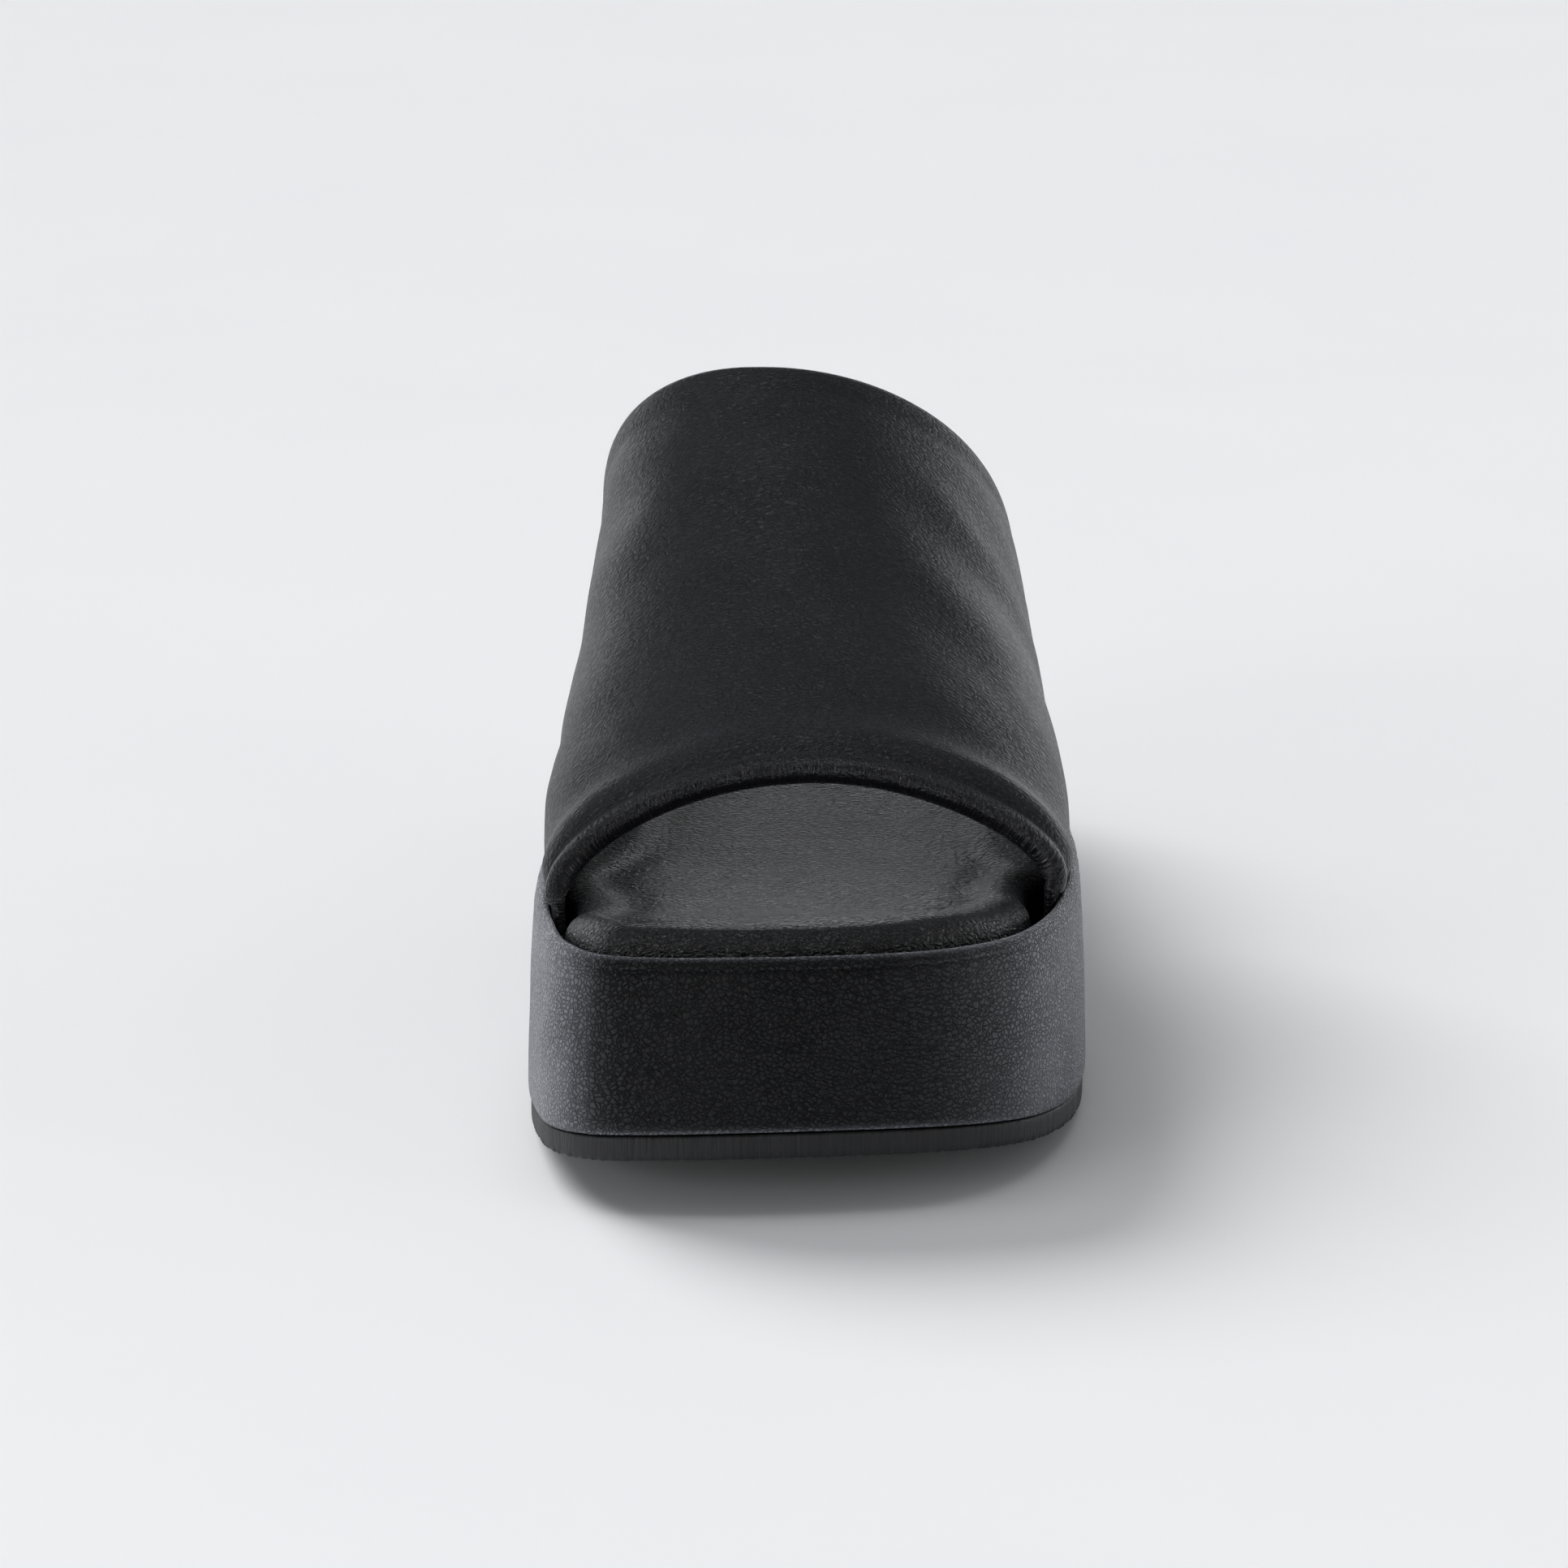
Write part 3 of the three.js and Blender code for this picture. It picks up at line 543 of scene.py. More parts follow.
under_bed = [toward_spine(bed_edge, share) for share in (0.05, 0.5, 0.97)]
bed_rings = [raised(p, deck(p) + GAP) for p in under_bed]
bed_rings.append(raised(bed_edge, deck(bed_edge) + GAP + 0.5))
bed_rings.append(raised(bed_edge, bed_top(bed_edge) - 1.5))
in_from_edge = [np.linspace(0, 0.14, 14), np.linspace(0.14, 0.6, 34)[1:], np.linspace(0.6, 0.975, 18)[1:]]
for share in 1 - np.concatenate(in_from_edge):
    p = toward_spine(bed_edge, share)
    bed_rings.append(raised(p, bed_top(p)))
footbed = loft("footbed_leather", bed_rings, span_fill, lay=bed_rings)

# %% [markdown]
# ## The upper's cross sections
# The upper is one piece of thin leather over a few millimetres of soft foam, with a leather lining. Its
# middle surface is drawn first. Each half of a section is one curve from the rim, up the wall and over to
# the crown. `turn` counts from -1 at the big toe's margin over 0 at the crown to 1 at the outer margin, and
# the last tenth at each end goes straight down into the slot behind the rim.

# %% Middle surface of the upper
upper_columns = [column(UPPER, k) for k in range(1, 9)]
inner_rim = inset(plan, TAPER + RIM_WIDE + GAP + MARGIN_THICK / 2)
rim_side = {-1: edge_at(inner_rim, -1), 1: edge_at(inner_rim, 1)}


def middle_of(along, turn, side):
    crown, shift, lean_m, lean_l, wall_m, wall_l, top_m, top_l = [c(along) for c in upper_columns]
    lean, wall, full = (lean_m, wall_m, top_m) if side < 0 else (lean_l, wall_l, top_l)
    base = rim_height(along) + OVER_RIM
    foot = rim_height(along) - RIM_DEEP + GAP
    edge = rim_side[side](along)
    height = INSTEP * crown - UPPER_THICK / 2 - OVER_RIM
    ridge = shift * BALL
    t = np.clip(1 - np.abs(turn) / (1 - FOOT), 0, 1)
    r = 1 - t
    b0, b1, b2, b3 = r**3, 3 * r * r * t, 3 * r * t * t, t**3
    x = b0 * edge + b1 * (edge + side * lean * BALL) + b2 * (ridge + (edge - ridge) * full) + b3 * ridge
    z = base + height * (b1 * wall + b2 + b3)
    down = np.clip((np.abs(turn) - (1 - FOOT)) / FOOT, 0, 1)
    return np.stack([x, along, z + (foot - base) * down], -1)


def toe_edge(turn, side):
    low_end = TOE_EDGE["medial" if side < 0 else "lateral"]
    return low_end + (TOE_EDGE["centre"] - low_end) * np.cos(np.abs(turn) ** 1.1 * np.pi / 2)


def collar_edge(turn, side):
    low_end = COLLAR["medial" if side < 0 else "lateral"]
    return COLLAR["centre"] + (low_end - COLLAR["centre"]) * np.abs(turn) ** 1.7


print("toe edge", toe_edge(0, 1), "mm back at its middle, collar edge", collar_edge(0, 1))

# %% [markdown]
# ## A grid over the upper
# Points run from the toe's edge to the collar's, closer together at both, so that the beads come out round.
# The grid also gives each point its direction outwards and its distance from both edges.

# %% Grid of the upper
NOSE = np.array([0.01, 0.06, 0.15, 0.28, 0.45, 0.7, 1.0])
ACROSS, MARGIN_ROWS, FINE = 232, 22, 104
turns = np.concatenate([np.linspace(-1, -(1 - FOOT), MARGIN_ROWS)[:-1],
                        np.linspace(-(1 - FOOT), 0, ACROSS // 2)[:-1]])
turns = np.concatenate([turns, [0.0], -turns[::-1]])
grid, from_toe, from_collar = [], [], []
for turn in turns:
    side = -1 if turn < 0 else 1
    a, b = float(toe_edge(turn, side)), float(collar_edge(turn, side))
    u = np.linspace(0, 1, FINE + 2)[1:-1]
    u = u - 0.1 * np.sin(2 * np.pi * u) / (2 * np.pi)
    along = np.concatenate([a + NOSE * TOE_BEAD / 2,
                            a + TOE_BEAD / 2 + (b - a - TOE_BEAD / 2 - COLLAR_BEAD / 2) * u,
                            b - NOSE[::-1] * COLLAR_BEAD / 2])
    grid.append(middle_of(along, np.full_like(along, turn), side))
    from_toe.append(along - a)
    from_collar.append(b - along)
grid, from_toe, from_collar = map(np.array, (grid, from_toe, from_collar))
turn_grid = np.broadcast_to(turns[:, None], from_toe.shape)
normal = np.cross(np.gradient(grid, axis=0), np.gradient(grid, axis=1))
normal /= np.linalg.norm(normal, axis=2)[..., None]
if normal[len(turns) // 2, FINE // 2, 2] < 0:
    normal = -normal
around = np.cumsum(np.linalg.norm(np.diff(grid, axis=0, prepend=grid[:1]), axis=2), axis=0)
around -= around[len(turns) // 2]
print("grid", grid.shape[:2], "and", around.max().round(), "mm from the crown to the outer margin")

# %% [markdown]
# ## How thick it is
# Both edges are turned over a filler, so the leather swells to a bead there. Down at the rim it is pressed
# thin to a margin, the inner side first, and the toe's bead stays round until it sits on the rim.

# %% Thickness of the upper
near_toe = from_toe < from_collar
nearest = np.where(near_toe, from_toe, from_collar)
radius = np.where(near_toe, TOE_BEAD, COLLAR_BEAD) / 2
to_bead = np.cos(np.pi * np.minimum(nearest, BEAD_REACH) / BEAD_REACH / 2)
half = UPPER_THICK / 2 + (radius - UPPER_THICK / 2) * to_bead
nose = np.where(nearest < radius, (1 - np.clip(1 - nearest / radius, 0, 1) ** 2.4) ** (1 / 2.4), 1)
free = 1 - step((np.abs(turn_grid) - 1 + FOOT + SWELL) / SWELL)
on_rim = step((np.abs(turn_grid) - 1 + 1.02 * FOOT) / (0.2 * FOOT))
sunk = step((np.abs(turn_grid) - 1 + 2.6 * FOOT) / (1.9 * FOOT))
inward = half + (MARGIN_THICK / 2 - half) * sunk
outward = half + (MARGIN_THICK / 2 - half) * on_rim
print("thickest at the bead", (2 * outward.max()).round(1), "mm, thinnest", (2 * inward.min()).round(1), "mm")

# %% [markdown]
# ## Folds placed one by one
# The leather was pulled over the last by hand, so it hangs in faint diagonal folds on the outer side and
# pinches at the big toe's side. Each fold is a line of a few points on the upper, with its width and depth.
# A negative depth makes a ridge.

# %% Folds
FOLDS = [  # points (along, turn), width mm, depth mm
    ([(122, 0.24), (115, 0.36), (114, 0.5), (112, 0.66), (108, 0.8)], 6.0, 0.8),
    ([(128, 0.34), (124, 0.46), (122, 0.6), (120, 0.74)], 5.0, -0.6),
    ([(106, 0.26), (101, 0.36), (98, 0.48), (96, 0.6)], 6.5, -0.55),
    ([(98, 0.2), (90, 0.32), (84, 0.48), (77, 0.64)], 6.0, 0.5),
    ([(90, 0.46), (82, 0.58), (76, 0.7)], 4.5, -0.5),
    ([(80, 0.3), (72, 0.45), (66, 0.62)], 4.5, 0.4),
    ([(146, -0.62), (138, -0.56), (128, -0.46), (118, -0.36)], 5.0, 0.7),
    ([(134, -0.72), (124, -0.6), (114, -0.46), (104, -0.36)], 6.0, -0.5),
    ([(118, -0.72), (108, -0.58), (96, -0.44)], 5.5, 0.4),
    ([(92, -0.76), (84, -0.64), (70, -0.52), (58, -0.46)], 4.5, 0.9),
    ([(78, -0.78), (66, -0.66), (54, -0.55)], 4.5, -0.6),
    ([(141, -0.42), (136, -0.34), (131, -0.26)], 3.5, 0.5),
    ([(126, -0.12), (124, 0.0), (126, 0.1)], 6.0, 0.4),
    ([(138, -0.16), (114, -0.12), (92, -0.06), (66, 0.02)], 8.0, 1.0),
    ([(150, 0.5), (142, 0.6), (136, 0.7)], 5.0, 0.4),
]
FOLD_STRENGTH = 0.75


def place_on_upper(along, turn):
    side = -1 if turn < 0 else 1
    return middle_of(np.array([float(along)]), np.array([float(turn)]), side)[0]


def fold(points, width, depth):
    line = np.array([place_on_upper(a, t) for a, t in points])
    best, where = np.full(grid.shape[:2], 1e9), np.zeros(grid.shape[:2])
    total = len(line) - 1
    for k in range(total):
        ab = line[k + 1] - line[k]
        t = np.clip(((grid - line[k]) @ ab) / (ab @ ab), 0, 1)
        d = np.linalg.norm(grid - line[k] - t[..., None] * ab, axis=2)
        closer = d < best
        best = np.where(closer, d, best)
        where = np.where(closer, (k + t) / total, where)
    ends = np.sin(np.pi * np.clip(where, 0.02, 0.98)) ** 0.6
    return -depth * bell(best, 0, width) * ends


folds = FOLD_STRENGTH * sum(fold(*one) for one in FOLDS)
print(len(FOLDS), "folds, from", folds.min().round(2), "to", folds.max().round(2), "mm")

# %% [markdown]
# ## The upper
# Behind the toe's bead the leather puffs up, most on the outer side, and a narrow groove parts the two. The
# collar has a fainter one. Soft random swells and tiny pinches at the bead stand for what the hand does.

# %% Upper
puff_right = 0.8 * bell(turn_grid, 0.45, 0.28)
puff_left = 0.3 * bell(turn_grid, -0.6, 0.2)
puff = (0.95 + puff_right + puff_left) * bell(from_toe, 8.8, 3.9)
puff = puff - (0.2 + 0.5 * puff_right) * bell(from_toe, 17, 6)
groove = -0.75 * bell(from_toe, 4.6, 0.65) - 0.16 * bell(from_collar, 5.5, 1.4)
loose = waves(grid, 34, 21) * 0.2 + waves(grid, 13, 22) * 0.04
body = step((from_toe - 3) / 4) * step((from_collar - 3) / 4)
pinch = waves(grid, 4.2, 23, 1) * 0.07 * bell(from_toe, 2.5, 3.0)
lift = (folds + loose + puff) * body * free + groove * (1 - on_rim) + pinch * free
outer = grid + normal * (outward * nose + lift)[..., None]
inner = grid - normal * (inward * nose - 0.45 * (folds + loose) * body * free)[..., None]

out_way = np.cumsum(np.linalg.norm(np.diff(outer, axis=1, prepend=outer[:, :1]), axis=2), axis=1)
in_way = -np.cumsum(np.linalg.norm(np.diff(inner, axis=1, prepend=inner[:, :1]), axis=2), axis=1)
out_lay, in_lay = [np.stack([around, way, 0 * around], -1) for way in (out_way, in_way)]
lining = np.concatenate([step((nearest - 3.5) / 1.0), 0 * nearest], axis=1)
beads = np.exp(-((np.concatenate([from_toe, from_toe[:, ::-1]], axis=1) / 4.3) ** 6))
skins = ((inner, outer), (in_lay, out_lay))
upper_rings, upper_lay = [np.concatenate([a, b[:, ::-1]], axis=1) for a, b in skins]
upper = loft("padded_upper", upper_rings, cross_fill, lay=upper_lay,
             ratios={"lining": lining, "bead": beads})

# %% [markdown]
# ## Colours and nodes
# Colours are noted as they look on a screen and turned to linear light by one function. `add` puts one node
# in a tree, sets its options and its inputs, in order or by name, and links whatever input is given as
# another node's output.

# %% Material helpers
SMOOTH = {"interpolation_type": "SMOOTHSTEP"}


def colour(text):
    values = [int(text[i : i + 2], 16) / 255 for i in (1, 3, 5)]
    return tuple(v / 12.92 if v <= 0.04045 else ((v + 0.055) / 1.055) ** 2.4 for v in values) + (1.0,)


def add(tree, kind, inputs=(), out=0, **settings):
    node = tree.nodes.new("ShaderNode" + kind)
    for key, value in settings.items():
        setattr(node, key, value)
    for key, value in inputs.items() if isinstance(inputs, dict) else enumerate(inputs):
        if isinstance(value, bpy.types.NodeSocket):
            tree.links.new(value, node.inputs[key])
        else:
            node.inputs[key].default_value = value
    return node.outputs[out]


def new_material(name):
    material = bpy.data.materials.new(name)
    material.use_nodes = True
    return material, material.node_tree, material.node_tree.nodes["Principled BSDF"]


print("the darkest black used is", [round(v, 4) for v in colour("#050508")[:3]], "in linear light")

# %% [markdown]
# ## Grain
# Milled leather shows small pebbles parted by creases. `pebbles` makes one size of them: cells whose edges
# sink, bent by a soft noise so that no row is straight, with a stretch for hide that was pulled one way.
# Sizes are in millimetres on the hide, because the pieces carry their place on the hide with them.
# `hide_grain` lays pebbles of half the size and pores over the big ones, and lets the whole fade a little
# in patches.

# %% Grain
PORE_SCALE, PATCH_SCALE, WEAR_SCALE = 4.5, 0.05, 0.02


def pebbles(tree, place, size, stretch, wander, sink):
    noise = add(tree, "TexNoise", {"Vector": place, "Scale": 0.33 / size, "Detail": 2.0}, out=1)
    shifted = add(tree, "VectorMath", [noise, (0.5, 0.5, 0.5)], operation="SUBTRACT")
    push = add(tree, "VectorMath", {0: shifted, "Scale": wander * size * 2}, operation="SCALE")
    moved = add(tree, "VectorMath", [place, push], operation="ADD")
    cell_place = add(tree, "VectorMath", [moved, tuple(s / size for s in stretch)], operation="MULTIPLY")
    edge = add(tree, "TexVoronoi", {"Vector": cell_place, "Scale": 1.0}, feature="DISTANCE_TO_EDGE")
    return add(tree, "MapRange", [edge, 0.0, sink, 0.0, 1.0], **SMOOTH)


def hide_grain(tree, place, size, stretch, sink, fine):
    """The big pebbles alone, the height of the whole grain, and the creases between the pebbles."""
    big = pebbles(tree, place, size, stretch, 0.9, sink)
    small = pebbles(tree, place, size * 0.5, stretch, 0.7, 0.25)
    pores = add(tree, "TexNoise", {"Vector": place, "Scale": PORE_SCALE, "Detail": 2.0})
    patch = add(tree, "TexNoise", {"Vector": place, "Scale": PATCH_SCALE, "Detail": 2.0})
    much = add(tree, "MapRange", [patch, 0.35, 0.65, 0.7, 1.0], **SMOOTH)
    grain = add(tree, "Math", [big, 0.75], operation="MULTIPLY")
    grain = add(tree, "Math", [small, fine, grain], operation="MULTIPLY_ADD")
    grain = add(tree, "Math", [grain, much], operation="MULTIPLY")
    grain = add(tree, "Math", [pores, 0.1, grain], operation="MULTIPLY_ADD")
    between = add(tree, "Math", [1.0, big], operation="SUBTRACT")
    return big, grain, add(tree, "Math", [between, much], operation="MULTIPLY")


print("pores", round(1 / PORE_SCALE, 2), "mm, patches", round(1 / PATCH_SCALE), "mm")

# %% [markdown]
# ## Black leather
# One function makes every leather of the shoe. `base` and `rubbed` are the colours of the hide and of its
# lighter patches. Light hardly reaches the creases, so both colour and gloss fall there, by the share
# `cavity`. At a slant the colour is painted towards a pale grey, a painted sheen for the flanks:
# `painted_sheen` says how much, and a little sheen stands for the dust on it.

# %% Leather
def hide(name, base, rubbed, size, depth, roughness, stretch, ior, sink, cavity, dust, gloss, painted_sheen, fine):
    """Returns the material, its tree and shader, its bump node, and the grain's height."""
    material, tree, shader = new_material(name)
    place = add(tree, "Attribute", attribute_name="lay", out=1)
    big, grain, crease = hide_grain(tree, place, size, stretch, sink, fine)
    wear = add(tree, "TexNoise", {"Vector": place, "Scale": WEAR_SCALE, "Detail": 3.0})
    wear = add(tree, "MapRange", [wear, 0.4, 0.7, 0.0, 1.0], **SMOOTH)
    tint = add(tree, "Mix", {0: wear, 6: colour(base), 7: colour(rubbed)}, data_type="RGBA", out=2)
    # Painted sheen: where the surface is seen at a slant, its colour is mixed towards a pale grey, by the
    # share the function is given.
    slant = add(tree, "LayerWeight", {"Blend": 0.5}, out=1)
    slant = add(tree, "MapRange", [slant, 0.0, 0.78, 0.0, 1.0], **SMOOTH)
    painted_sheen_share = add(tree, "Math", [slant, painted_sheen], operation="MULTIPLY")
    tint = add(tree, "Mix", {0: painted_sheen_share, 6: tint, 7: colour("#888a91")}, data_type="RGBA", out=2)
    lit = add(tree, "Math", [crease, -cavity, 1.0], operation="MULTIPLY_ADD")
    tint = add(tree, "VectorMath", {0: tint, "Scale": lit}, operation="SCALE")
    tree.links.new(tint, shader.inputs["Base Color"])
    shader.inputs["Specular IOR Level"].default_value = gloss
    shine = add(tree, "Math", [lit, gloss], operation="MULTIPLY")
    tree.links.new(shine, shader.inputs["Specular IOR Level"])
    rough = add(tree, "MapRange", [big, 0.0, 1.0, roughness + 0.1, roughness], **SMOOTH)
    rough = add(tree, "Math", [wear, 0.05, rough], operation="MULTIPLY_ADD")
    tree.links.new(rough, shader.inputs["Roughness"])
    shader.inputs["IOR"].default_value = ior
    shader.inputs["Sheen Weight"].default_value = dust
    shader.inputs["Sheen Roughness"].default_value = 0.35
    shader.inputs["Sheen Tint"].default_value = colour("#dfe6f4")
    bump = add(tree, "Bump", {"Distance": depth / 1000, "Height": grain})
    tree.links.new(bump, shader.inputs["Normal"])
    print(name, "pebbles of", size, "mm")
    return material, tree, shader, bump.node, grain


# %% [markdown]
# ## Cover and footbed leather
# The platform is wrapped in cowhide that was milled, that is, tumbled until it broke into open pebbles
# about a millimetre across. They catch small glints, and at the flanks a painted sheen turns the hide to a
# soft grey. The footbed has a thinner, smoother leather with shallow grain drawn out across the shoe, and
# takes a broad grey reflection.

# %% Cover and footbed leather
cover_leather, *_ = hide(
    "milled_cow_leather", "#050508", "#09090c", size=0.98, depth=0.42, roughness=0.27,
    stretch=(0.95, 0.95, 1.2), ior=1.45, sink=0.25, cavity=0.6, dust=0.07, gloss=0.33, painted_sheen=0.78, fine=0.12)
bed_leather, *_ = hide(
    "footbed_leather", "#08080a", "#0d0d10", size=1.05, depth=0.26, roughness=0.25,
    stretch=(0.55, 1.3, 1.0), ior=1.5, sink=0.3, cavity=0.25, dust=0.06, gloss=0.5, painted_sheen=0.0, fine=0.3)

# %% [markdown]
# ## Upper leather
# Soft nappa: finer, flatter grain that runs across the foot, with a dull, even sheen. At the toe's bead the
# same hide is turned over a cord, so it is drawn into fine wrinkles across and is shinier there. The lining
# inside is smoother than the outside.

# %% Upper leather
upper_leather, tree, shader, bump, grain = hide(
    "soft_nappa_leather", "#0f0f13", "#141418", size=0.98, depth=0.17, roughness=0.34, stretch=(0.6, 1.25, 1),
    ior=1.5, sink=0.3, cavity=0.25, dust=0.09, gloss=0.5, painted_sheen=0.0, fine=0.3)
place = add(tree, "Attribute", attribute_name="lay", out=1)
on_bead = add(tree, "Attribute", attribute_name="bead", out=2)
inside = add(tree, "Attribute", attribute_name="lining", out=2)
drawn = add(tree, "VectorMath", [place, (1.45, 0.4, 1.0)], operation="MULTIPLY")
wrinkle = add(tree, "TexNoise", {"Vector": drawn, "Scale": 1.0, "Detail": 2.0, "Roughness": 0.6})
wrinkle = add(tree, "MapRange", [wrinkle, 0.3, 0.7, 0.0, 1.0], **SMOOTH)
plain = add(tree, "Math", [on_bead, -0.5, 1.0], operation="MULTIPLY_ADD")
plain = add(tree, "Math", [grain, plain], operation="MULTIPLY")
smoother = add(tree, "Math", [inside, -0.7, 1.0], operation="MULTIPLY_ADD")
plain = add(tree, "Math", [plain, smoother], operation="MULTIPLY")
relief = add(tree, "Math", [wrinkle, on_bead, plain], operation="MULTIPLY_ADD")
tree.links.new(relief, bump.inputs["Height"])
rough = shader.inputs["Roughness"].links[0].from_socket
rough = add(tree, "Math", [on_bead, -0.1, rough], operation="MULTIPLY_ADD")
tree.links.new(rough, shader.inputs["Roughness"])
print("bead wrinkles every", round(1 / 1.45, 2), "mm")

# %% [markdown]
# ## Rubber and core
# The outsole's rubber is dull, and its ground edge shows upright brush marks that make it greyer than the
# leather above it. The marks of a real grinding wheel are finer than the picture can show, so they are
# drawn about 0.6 mm apart. The platform's core is a fine closed foam that only its maker sees.

# %% Rubber and foam
rubber, tree, shader = new_material("ground_black_rubber")
where = add(tree, "TexCoord", out=3)
upright = add(tree, "Mapping", {"Vector": where, "Scale": (1.0, 1.0, 0.06)})
brushed = add(tree, "TexNoise", {"Vector": upright, "Scale": 1700.0, "Detail": 3.0})
patchy = add(tree, "TexNoise", {"Vector": where, "Scale": 160.0, "Detail": 3.0})
dust = add(tree, "Math", [patchy, 0.6, brushed], operation="MULTIPLY_ADD")
dust = add(tree, "MapRange", [dust, 0.6, 1.1, 0.0, 1.0], **SMOOTH)
tint = add(tree, "Mix", {0: dust, 6: colour("#0f0f11"), 7: colour("#262628")}, data_type="RGBA", out=2)
tree.links.new(tint, shader.inputs["Base Color"])
rough = add(tree, "MapRange", [dust, 0.0, 1.0, 0.5, 0.68], **SMOOTH)
tree.links.new(rough, shader.inputs["Roughness"])
shader.inputs["IOR"].default_value = 1.45
bump = add(tree, "Bump", {"Height": brushed, "Strength": 1.0, "Distance": 0.0003})
tree.links.new(bump, shader.inputs["Normal"])

foam, tree, shader = new_material("closed_cell_foam")
cells = add(tree, "TexVoronoi", {"Vector": add(tree, "TexCoord", out=3), "Scale": 1600.0})
tint = add(tree, "Mix", {0: cells, 6: colour("#141415"), 7: colour("#242425")}, data_type="RGBA", out=2)
tree.links.new(tint, shader.inputs["Base Color"])
shader.inputs["Roughness"].default_value = 0.9
bump = add(tree, "Bump", {"Height": cells, "Strength": 0.6, "Distance": 0.0002})
tree.links.new(bump, shader.inputs["Normal"])

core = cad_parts["midsole"]
dressed = ((cover, cover_leather), (footbed, bed_leather), (upper, upper_leather), (outsole, rubber),
           (core, foam))
for piece, material in dressed:
    piece.data.materials.clear()
    piece.data.materials.append(material)
print("materials", [m.name for m in bpy.data.materials])

# %% [markdown]
# ## The pieces and the solids they stand for
# Each dressed piece takes the place of its solid and rides with the shoe's one body. The footbed and the
# upper are padded.

# %% Pieces for solids
for piece, node, slot in (
    (outsole, "outsole", "sole_rubber"),
    (cover, "platform_cover", "cover_leather"),
    (footbed, "footbed", "footbed_leather"),
    (upper, "upper", "upper_leather"),
):
    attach(piece, "root")
    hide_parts(node)
    print(piece.name, "stands for", node)

# %% [markdown]
# ## Floor
# A seamless sheet of pale matt paper, with a hardly visible unevenness so that it isn't one flat colour.

# %% Floor
bpy.ops.mesh.primitive_plane_add(size=14)
floor = bpy.context.active_object
floor.name = "floor"
paper, tree, shader = new_material("matt_paper")
fleck = add(tree, "TexNoise", {"Vector": add(tree, "TexCoord", out=3), "Scale": 9.0, "Detail": 4.0})
tint = add(tree, "Mix", {0: fleck, 6: colour("#ebecee"), 7: colour("#eff0f1")}, data_type="RGBA", out=2)
tree.links.new(tint, shader.inputs["Base Color"])
shader.inputs["Roughness"].default_value = 0.8
shader.inputs["Specular IOR Level"].default_value = 0.2
floor.data.materials.append(paper)
floor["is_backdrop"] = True
print("floor", tuple(floor.dimensions)[:2], "m")

# %% [markdown]
# ## The room's glow
# Black leather shows what it mirrors, so the room is built by its zones. It is brightest low down behind
# the shoe, which the footbed picks up as a grey sheen. Both sides glow low and softly for the flanks. There
# is a soft light overhead, and within it one narrow bright strip that lights the puff behind the toe's
# bead. The camera's side stays dark, so the leather that faces it stays near black.

# %% Room
STRIP, ROOM_TINT, ROOM_STRENGTH = 8.5, (0.962, 0.978, 1.0), 0.27
world = bpy.data.worlds.new("studio")
bpy.context.scene.world = world
world.use_nodes = True
tree = world.node_tree
right, back, height = add(tree, "SeparateXYZ", [add(tree, "TexCoord")]).node.outputs
aside = add(tree, "Math", [right], operation="ABSOLUTE")
front = add(tree, "Math", [back, -1.0], operation="MULTIPLY")
over = add(tree, "Math", [height, 0.02], operation="MAXIMUM")
strip_across = add(tree, "Math", [right, over], operation="DIVIDE")
strip_deep = add(tree, "Math", [back, over], operation="DIVIDE")


def zone(*bands):
    """One zone of the room: soft steps along some directions, each (direction, from, to, first, last)."""
    light = 1.0
    for direction, begin, finish, first, last in bands:
        band = add(tree, "MapRange", [direction, begin, finish, first, last], **SMOOTH)
        light = add(tree, "Math", [light, band], operation="MULTIPLY")
    return light


low_behind = zone((front, -0.5, 0.3, 1.0, 0.0), (height, 0.15, 0.36, 5.9, 0.2))
fade_behind = zone((front, -0.5, 0.3, 1.0, 0.0), (height, 0.36, 0.56, 0.8, 0.0))
room = add(tree, "Math", [low_behind, fade_behind], operation="ADD")
for other in (
    zone((aside, 0.15, 0.7, 0.0, 1.0), (height, 0.3, 0.9, 1.25, 0.95)),
    zone((height, 0.66, 0.92, 0.0, 1.0), (front, -0.4, 0.2, 0.25, 1.0)),
    zone((aside, 0.3, 0.7, 0.0, 1.0), (height, 0.1, 0.3, 2.6, 0.0)),
):
    room = add(tree, "Math", [room, other], operation="MAXIMUM")
strip = zone((strip_across, -0.9, -0.5, 0.0, 1.0), (strip_across, 0.15, 0.5, 1.0, 0.0),
             (strip_deep, -0.24, -0.06, 0.0, 1.0), (strip_deep, 0.08, 0.26, 1.0, 0.0))
room = add(tree, "Math", [strip, STRIP, room], operation="MULTIPLY_ADD")
room = add(tree, "VectorMath", {0: ROOM_TINT, "Scale": room}, operation="SCALE")
background = tree.nodes["Background"]
tree.links.new(room, background.inputs["Color"])
background.inputs["Strength"].default_value = ROOM_STRENGTH
print("room", len(tree.nodes), "nodes")

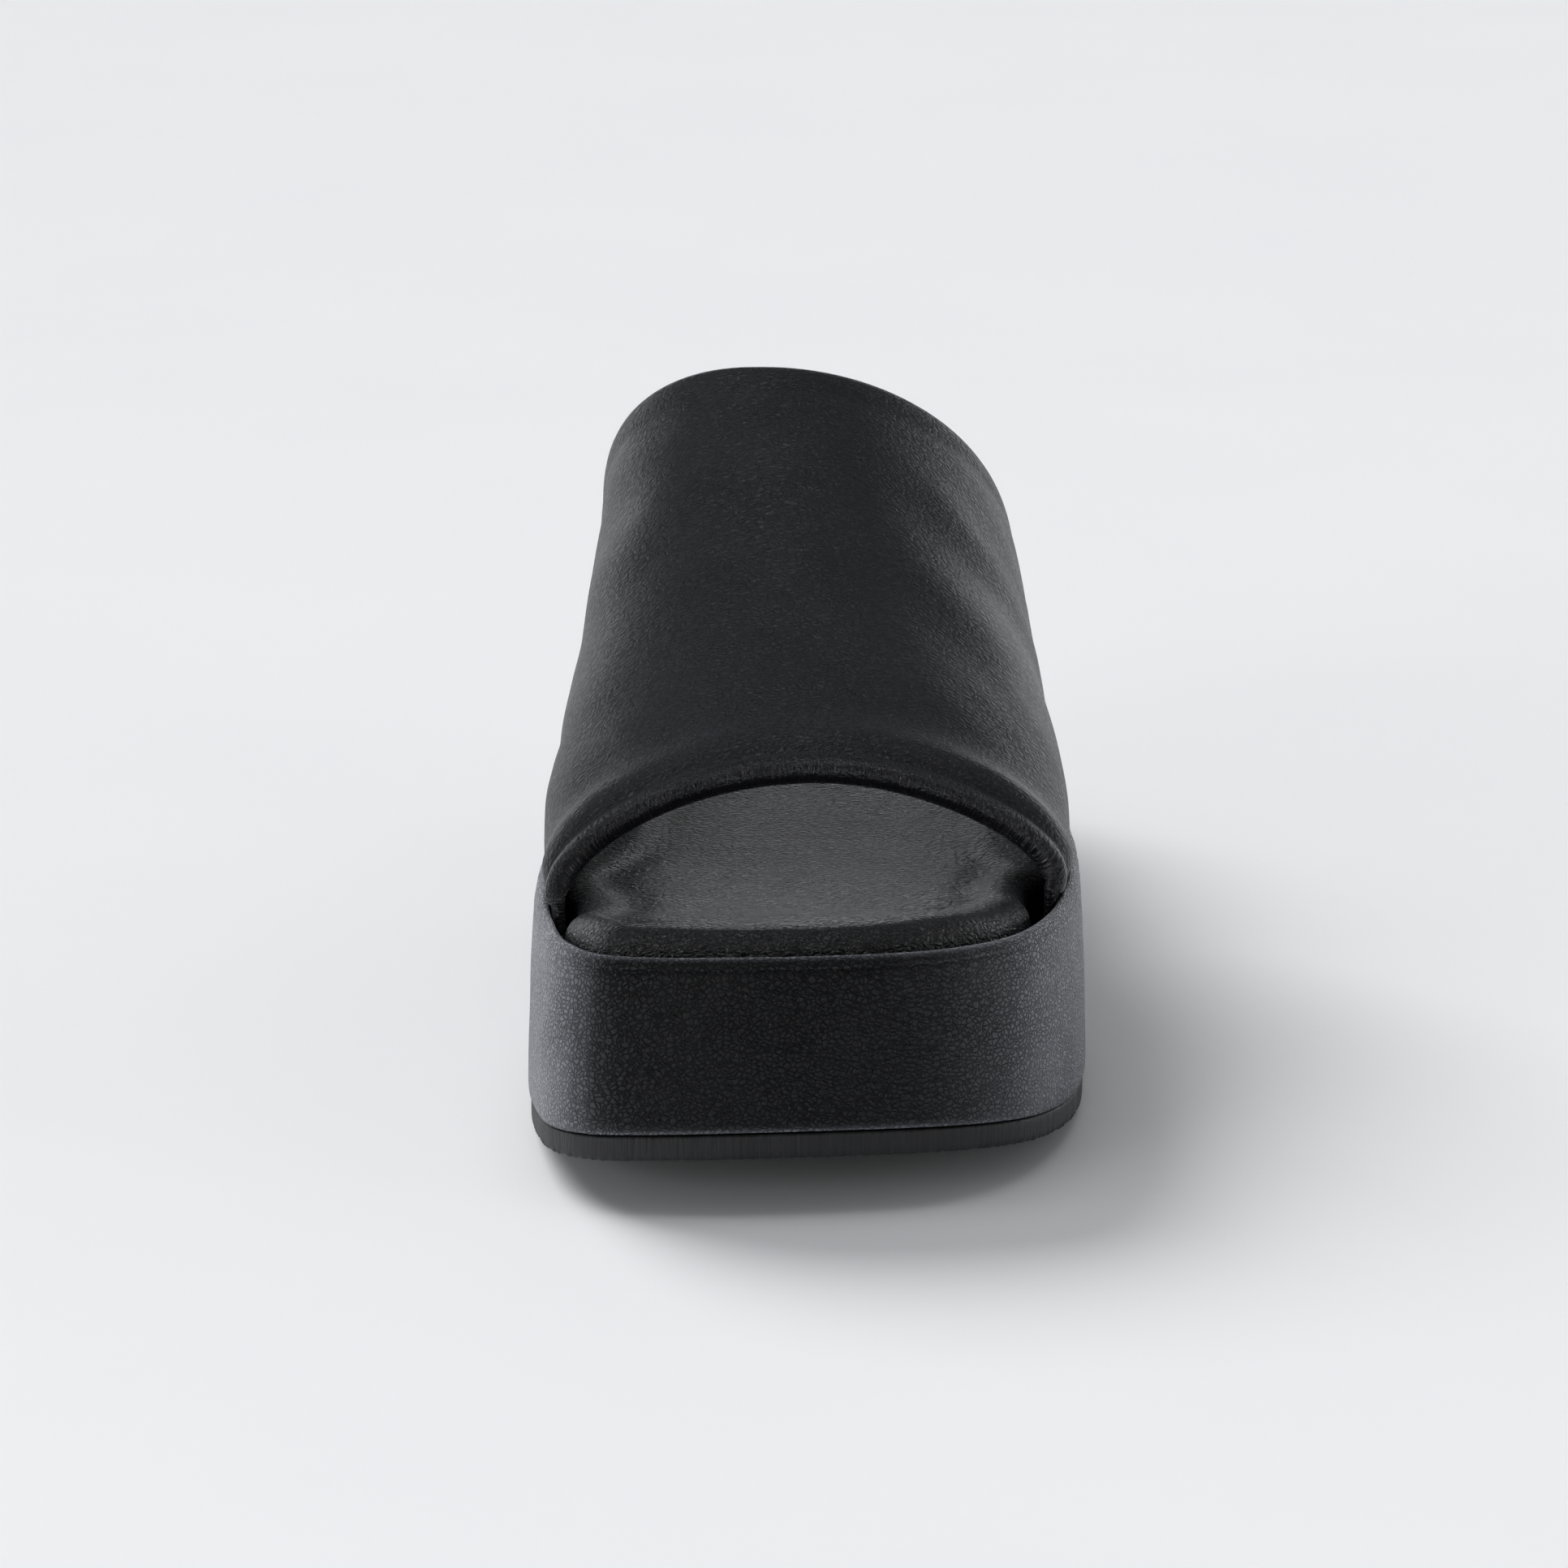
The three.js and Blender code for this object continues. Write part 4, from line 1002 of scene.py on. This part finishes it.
# %% [markdown]
# ## Lamps
# A broad, soft key from behind, high on the left, throws the short shadow forward and to the right. It
# isn't seen in the leather. Two panels near the floor fill the flanks, the left one more.

# %% Lamps
def soft_panel(name, size, power, at, aim):
    data = bpy.data.lights.new(name, "AREA")
    data.shape, data.size, data.size_y, data.energy = "RECTANGLE", size[0], size[1], power
    lamp = bpy.data.objects.new(name, data)
    lamp.location = at
    bpy.context.scene.collection.objects.link(lamp)
    lamp.rotation_euler = Vector([b - a for a, b in zip(at, aim)]).to_track_quat("-Z", "Y").to_euler()
    print(name, power, "W")


soft_panel("left_panel", (0.8, 0.8), 6.0, (-1.2, -1.15, 0.4), (0, -0.1, 0.03))
soft_panel("right_panel", (0.5, 0.7), 1.6, (1.5, -0.65, 0.3), (0, -0.1, 0.03))
sun = bpy.data.lights.new("key", "SUN")
sun.energy, sun.angle = 2.4, math.radians(36)
key = bpy.data.objects.new("key", sun)
key.rotation_euler = Vector((0.54, -0.6, -0.75)).to_track_quat("-Z", "Y").to_euler()
key.visible_glossy = False
bpy.context.scene.collection.objects.link(key)

# %% [markdown]
# ## Camera
# A long lens at about a metre, straight in front of the toe and looking slightly down, as in the
# photograph.

# %% Camera
TARGET = np.array([-4.0 - centre[0], 60.0 - centre[1], 58.25]) / 1000
ELEVATION, DISTANCE, FOCAL_PIXELS, FRAME_PIXELS = math.radians(16.5), 1.0, 7050, 1932
camera_data = bpy.data.cameras.new("camera")
camera_data.lens = 36 * FOCAL_PIXELS / FRAME_PIXELS
camera_data.clip_end = 30
camera = bpy.data.objects.new("camera", camera_data)
camera.location = TARGET + DISTANCE * np.array([0, -math.cos(ELEVATION), math.sin(ELEVATION)])
camera.rotation_euler = (math.pi / 2 - ELEVATION, 0, 0)
bpy.context.scene.collection.objects.link(camera)
bpy.context.scene.camera = camera
bpy.context.scene.view_settings.view_transform = "Standard"
print("lens", round(camera_data.lens), "mm")

# %% [markdown]
# ## Sizes at the end
# The dressed shoe has to fill the same box as its solids, so the box that it fills is measured at the end.

low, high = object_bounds()
